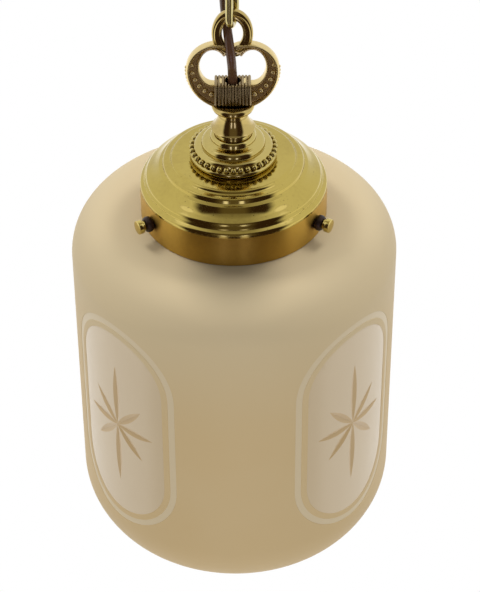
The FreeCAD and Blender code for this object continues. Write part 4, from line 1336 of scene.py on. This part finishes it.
    def lower(self) -> List[Point]:
        """Outline from the inner wall's foot down, round the bottom and out to the wall's foot."""
        r, t, h, d = self.radius, self.wall, self.heel, self.dome
        low = self.wall_top - self.wall_height
        reach = d - h
        lean = math.asin((r - h) / reach)
        bottom = low - (d - math.sqrt(reach ** 2 - (r - h) ** 2))
        out = (d * math.sin(lean), bottom + d - d * math.cos(lean))
        within = ((d - t) * math.sin(lean), bottom + d - (d - t) * math.cos(lean))
        return trace([(r - t, low), (within[0], within[1], -(h - t)),
                      (0, bottom + t, -(d - t)), (0, bottom), (out[0], out[1], d),
                      (r, low, h)], 3.0, closed=False)

    def build(self) -> None:
        """Builds the glass as one closed mesh."""
        shape = Body().turn(self.upper() + self.lower(), RIM, self.count, closed=False)
        flat, faces, marks = self.panel()
        pitch = 360 / self.count
        top = RIM + self.wall_top
        ends = self.turns[1:] + (self.turns[0] + 360,)
        for middle, following in zip(self.turns, ends):
            start = len(shape.points)
            for u, v in flat:
                around = math.radians(middle) + u / self.radius
                reach = self.radius - self.sunk(u, v)
                shape.points.append((reach * math.sin(around), -reach * math.cos(around),
                                     self.middle + v))
            shape.faces += [tuple(start + k for k in face) for face in faces]
            shape.marks += marks
            first = middle + self.reach * pitch
            steps = round((following - self.reach * pitch - first) / pitch)
            start = len(shape.points)
            for row in range(self.rows + 1):
                level = top - self.wall_height * (1 - row / self.rows)
                for k in range(steps + 1):
                    around = math.radians(first + pitch * k)
                    shape.points.append((self.radius * math.sin(around),
                                         -self.radius * math.cos(around), level))
            for row in range(self.rows):
                for k in range(steps):
                    low = start + row * (steps + 1) + k
                    shape.faces.append((low, low + 1, low + steps + 2, low + steps + 1))
                    shape.marks.append(0)
        piece = shape.piece("shade_glass", "shade", Finish.SATIN_GLASS, Finish.PANEL_GLASS,
                            Finish.LINE_GLASS, Finish.STAR_GLASS, sharp=10.0, weld=0.02)
        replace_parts(piece, "glass_shade")


class Lampholder:
    """Lampholder and bulb inside the shade."""

    def build(self) -> None:
        """Dresses the lampholder and the bulb."""
        dress(Finish.TRIM, "holder_cap", "holder_body", "holder_ring", "holder_sleeve",
              "holder_contact")
        dress(Finish.STEEL, "bulb_cap", "bulb_contact")
        dress(Finish.BULB_GLASS, "bulb_glass", "bulb_stem")
        dress(Finish.BLACK, "bulb_insulator")
        dress(Finish.CERAMIC, "holder_insulator")


def stand(name: str, shape: bmesh.types.BMesh, middle: Tuple[float, float, float],
          finish: bpy.types.Material, *unseen: str) -> None:
    """Adds a staged piece, which isn't part of the lamp.

    Args:
        name: Its name.
        shape: Its shape, about the origin.
        middle: Where it goes, in metres.
        finish: Its material.
        *unseen: The rays that don't meet it.
    """
    mesh = bpy.data.meshes.new(name)
    bmesh.ops.translate(shape, verts=shape.verts, vec=middle)
    shape.to_mesh(mesh)
    shape.free()
    mesh.materials.append(finish)
    thing = put(name, mesh)
    for ray in unseen:
        setattr(thing, "visible_" + ray, False)


@dataclass
class Surround:
    """The room that only polished metal shows: a dark front, a dim ceiling and two lamps.

    Azimuths are radians from straight ahead, and rises are sines of the angle above level.
    """

    radius: float = 1.2
    middle: Tuple[float, float, float] = (0.0, 0.0, -0.30)
    ceiling: float = 0.65
    above: float = 0.8
    walls: Colour = shade(120, 108, 72)
    dark: Colour = shade(62, 46, 38)
    veil: Colour = shade(112, 100, 80)
    slit: Colour = (1.5, 1.5, 2.3)
    streak: Colour = (1.0, 0.9, 0.9)
    streak_share: float = 0.8
    glow: Colour = (1.35, 1.35, 1.6)
    glow_way: Tuple[float, float, float] = (0.633, -0.112, 0.766)

    def way(self, bench: Bench) -> Wire:
        """The direction of the surface point from the room's middle."""
        away = bench.node("ShaderNodeVectorMath", {"operation": "SUBTRACT"},
                          [bench.place(), self.middle])
        return bench.node("ShaderNodeVectorMath", {"operation": "NORMALIZE"}, [away])

    def paint(self, bench: Bench) -> Wire:
        """The room's surface: a glow where something stands, clear elsewhere.

        Args:
            bench: The tree.

        Returns:
            The shader.
        """
        way = self.way(bench)
        side, back, rise = (bench.node("ShaderNodeSeparateXYZ", None, [way], k) for k in range(3))
        ahead = 0.0 - back
        azimuth = abs(side.bearing(ahead))
        front = (1 - azimuth.above(level=1.06, soft=0.26)) * rise.inside(-0.86, 0.85, soft=0.14)
        veil = (1 - azimuth.above(level=0.40, soft=0.26)) * rise.above(level=-0.42, soft=0.22)
        slit = azimuth.inside(0.145, 0.255, soft=0.05) * rise.inside(-0.42, 0.16, soft=0.12)
        streak = azimuth.inside(0.14, 0.30, soft=0.07) * rise.inside(-0.82, -0.46, soft=0.08)
        roof = rise.above(level=0.9, soft=0.2) * self.ceiling
        above = (1 - abs(side).above(level=0.42, soft=0.4)) * ahead.above(level=0.2, soft=0.7)
        above = above * rise.above(level=0.7, soft=0.3) * self.above
        colour = bench.mix(veil, self.dark, self.veil)
        colour = bench.mix(slit, colour, self.slit)
        colour = bench.mix(streak * self.streak_share, colour, self.streak)
        colour = bench.mix(front, self.walls, colour)
        cover = front.most(roof).most(above)
        for mirror in (-1, 1):
            towards = bench.node("ShaderNodeVectorMath", {"operation": "DOT_PRODUCT"}, [
                way, (mirror * self.glow_way[0], *self.glow_way[1:])], 1)
            spot = towards.above(level=0.992, soft=0.006)
            colour = bench.mix(spot, colour, self.glow)
            cover = cover.most(spot)
        glow = bench.node("ShaderNodeEmission", None, {"Color": colour, "Strength": 1.0})
        clear = bench.node("ShaderNodeBsdfTransparent")
        return bench.node("ShaderNodeMixShader", None, [cover, clear, glow])

    def build(self) -> None:
        """Adds the room."""
        shape = bmesh.new()
        bmesh.ops.create_icosphere(shape, subdivisions=4, radius=self.radius)
        bench = Bench("surround")
        stand("surround", shape, self.middle, bench.show(self.paint(bench)),
              "camera", "diffuse", "shadow", "transmission")


@dataclass
class Studio:
    """Floor, world, lamps and camera, none of them part of the lamp."""

    floor_level: float = -1.55
    floor_radius: float = 12.0
    floor_glow: float = 0.62
    world_strength: float = 0.62
    aim: Tuple[float, float, float] = (0.0, 0.0, -0.4001)
    away: float = 1.529
    pitch: float = 0.6855
    roll: float = -0.0085
    focal: float = 2208.8
    long_side: float = 592.0
    sensor: float = 36.0
    aside: float = 5.4

    def camera(self) -> None:
        """Puts the camera at the photograph's viewing angle."""
        data = bpy.data.cameras.new("camera")
        data.sensor_width = self.sensor
        data.lens = self.focal * self.sensor / self.long_side
        data.shift_x = self.aside / self.long_side
        data.clip_end = 100.0
        thing = put("camera", data)
        aim = Vector(self.aim)
        thing.location = aim + Vector((0, -self.away * math.cos(self.pitch),
                                       self.away * math.sin(self.pitch)))
        turn = (Matrix.Rotation(math.pi / 2 - self.pitch, 4, "X")
                @ Matrix.Rotation(self.roll, 4, "Z"))
        thing.rotation_euler = turn.to_euler()
        bpy.context.scene.camera = thing

    def seen(self, bench: Bench) -> Wire:
        """A mask of the rays that show the pale background."""
        path = [bench.node("ShaderNodeLightPath", output=name) for name in (
            "Is Camera Ray", "Is Glossy Ray", "Is Transmission Ray")]
        return path[0].most(path[1]).most(path[2])

    def floor(self) -> None:
        """A wide pale floor."""
        shape = bmesh.new()
        bmesh.ops.create_circle(shape, cap_ends=True, radius=self.floor_radius, segments=64)
        bench = Bench("floor")
        plain = bench.node("ShaderNodeBsdfDiffuse", None, {"Color": shade(236, 234, 230)})
        glow = bench.node("ShaderNodeEmission", None,
                          {"Color": (1, 1, 1), "Strength": self.floor_glow})
        both = bench.node("ShaderNodeAddShader", None, [plain, glow])
        surface = bench.node("ShaderNodeMixShader", None, [self.seen(bench), plain, both])
        stand("floor", shape, (0.0, 0.0, self.floor_level), bench.show(surface), "camera")

    def world(self) -> None:
        """A white world whose light on the lamp is soft."""
        bench = Bench("studio", bpy.data.worlds)
        strength = self.world_strength + self.seen(bench) * (1.0 - self.world_strength)
        light = bench.node("ShaderNodeBackground", None,
                           {"Color": (1, 1, 1), "Strength": strength})
        bpy.context.scene.world = bench.show(light, "World")

    def lamp(self, name: str, place: Tuple[float, float, float], size: float,
             power: float) -> None:
        """Adds one soft studio lamp that points at the lamp shade.

        Args:
            name: Its name.
            place: Where it stands, in metres.
            size: Its side, in metres.
            power: Its power in watts.
        """
        data = bpy.data.lights.new(name, "AREA")
        data.shape = "SQUARE"
        data.size = size
        data.energy = power
        thing = put(name, data)
        thing.location = place
        aim = Vector(self.aim) - Vector(place)
        thing.rotation_euler = aim.to_track_quat("-Z", "Y").to_euler()
        thing.visible_glossy = False

    def build(self) -> None:
        """Sets up the studio."""
        bpy.context.scene.view_settings.view_transform = "Standard"
        self.camera()
        self.floor()
        self.world()
        self.lamp("left_lamp", (-1.15, 0.75, 1.3), 0.6, 16.0)
        self.lamp("right_lamp", (1.15, 0.75, 1.3), 0.6, 15.0)
        self.lamp("front_lamp", (0.0, -1.9, -1.0), 1.0, 4.5)
        Surround().build()


def main() -> None:
    """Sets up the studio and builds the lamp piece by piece."""
    logging.basicConfig(level=logging.INFO, format="%(name)s %(message)s")
    studio = Studio()
    studio.build()
    for part in (Flex(), Chain(), CeilingFitting(), Trefoil(), Cap(), Gallery(), Thumbscrews(),
                 Shade(), Lampholder()):
        LOG.info("building %s", type(part).__name__)
        part.build()


if __name__ == "__main__":
    main()
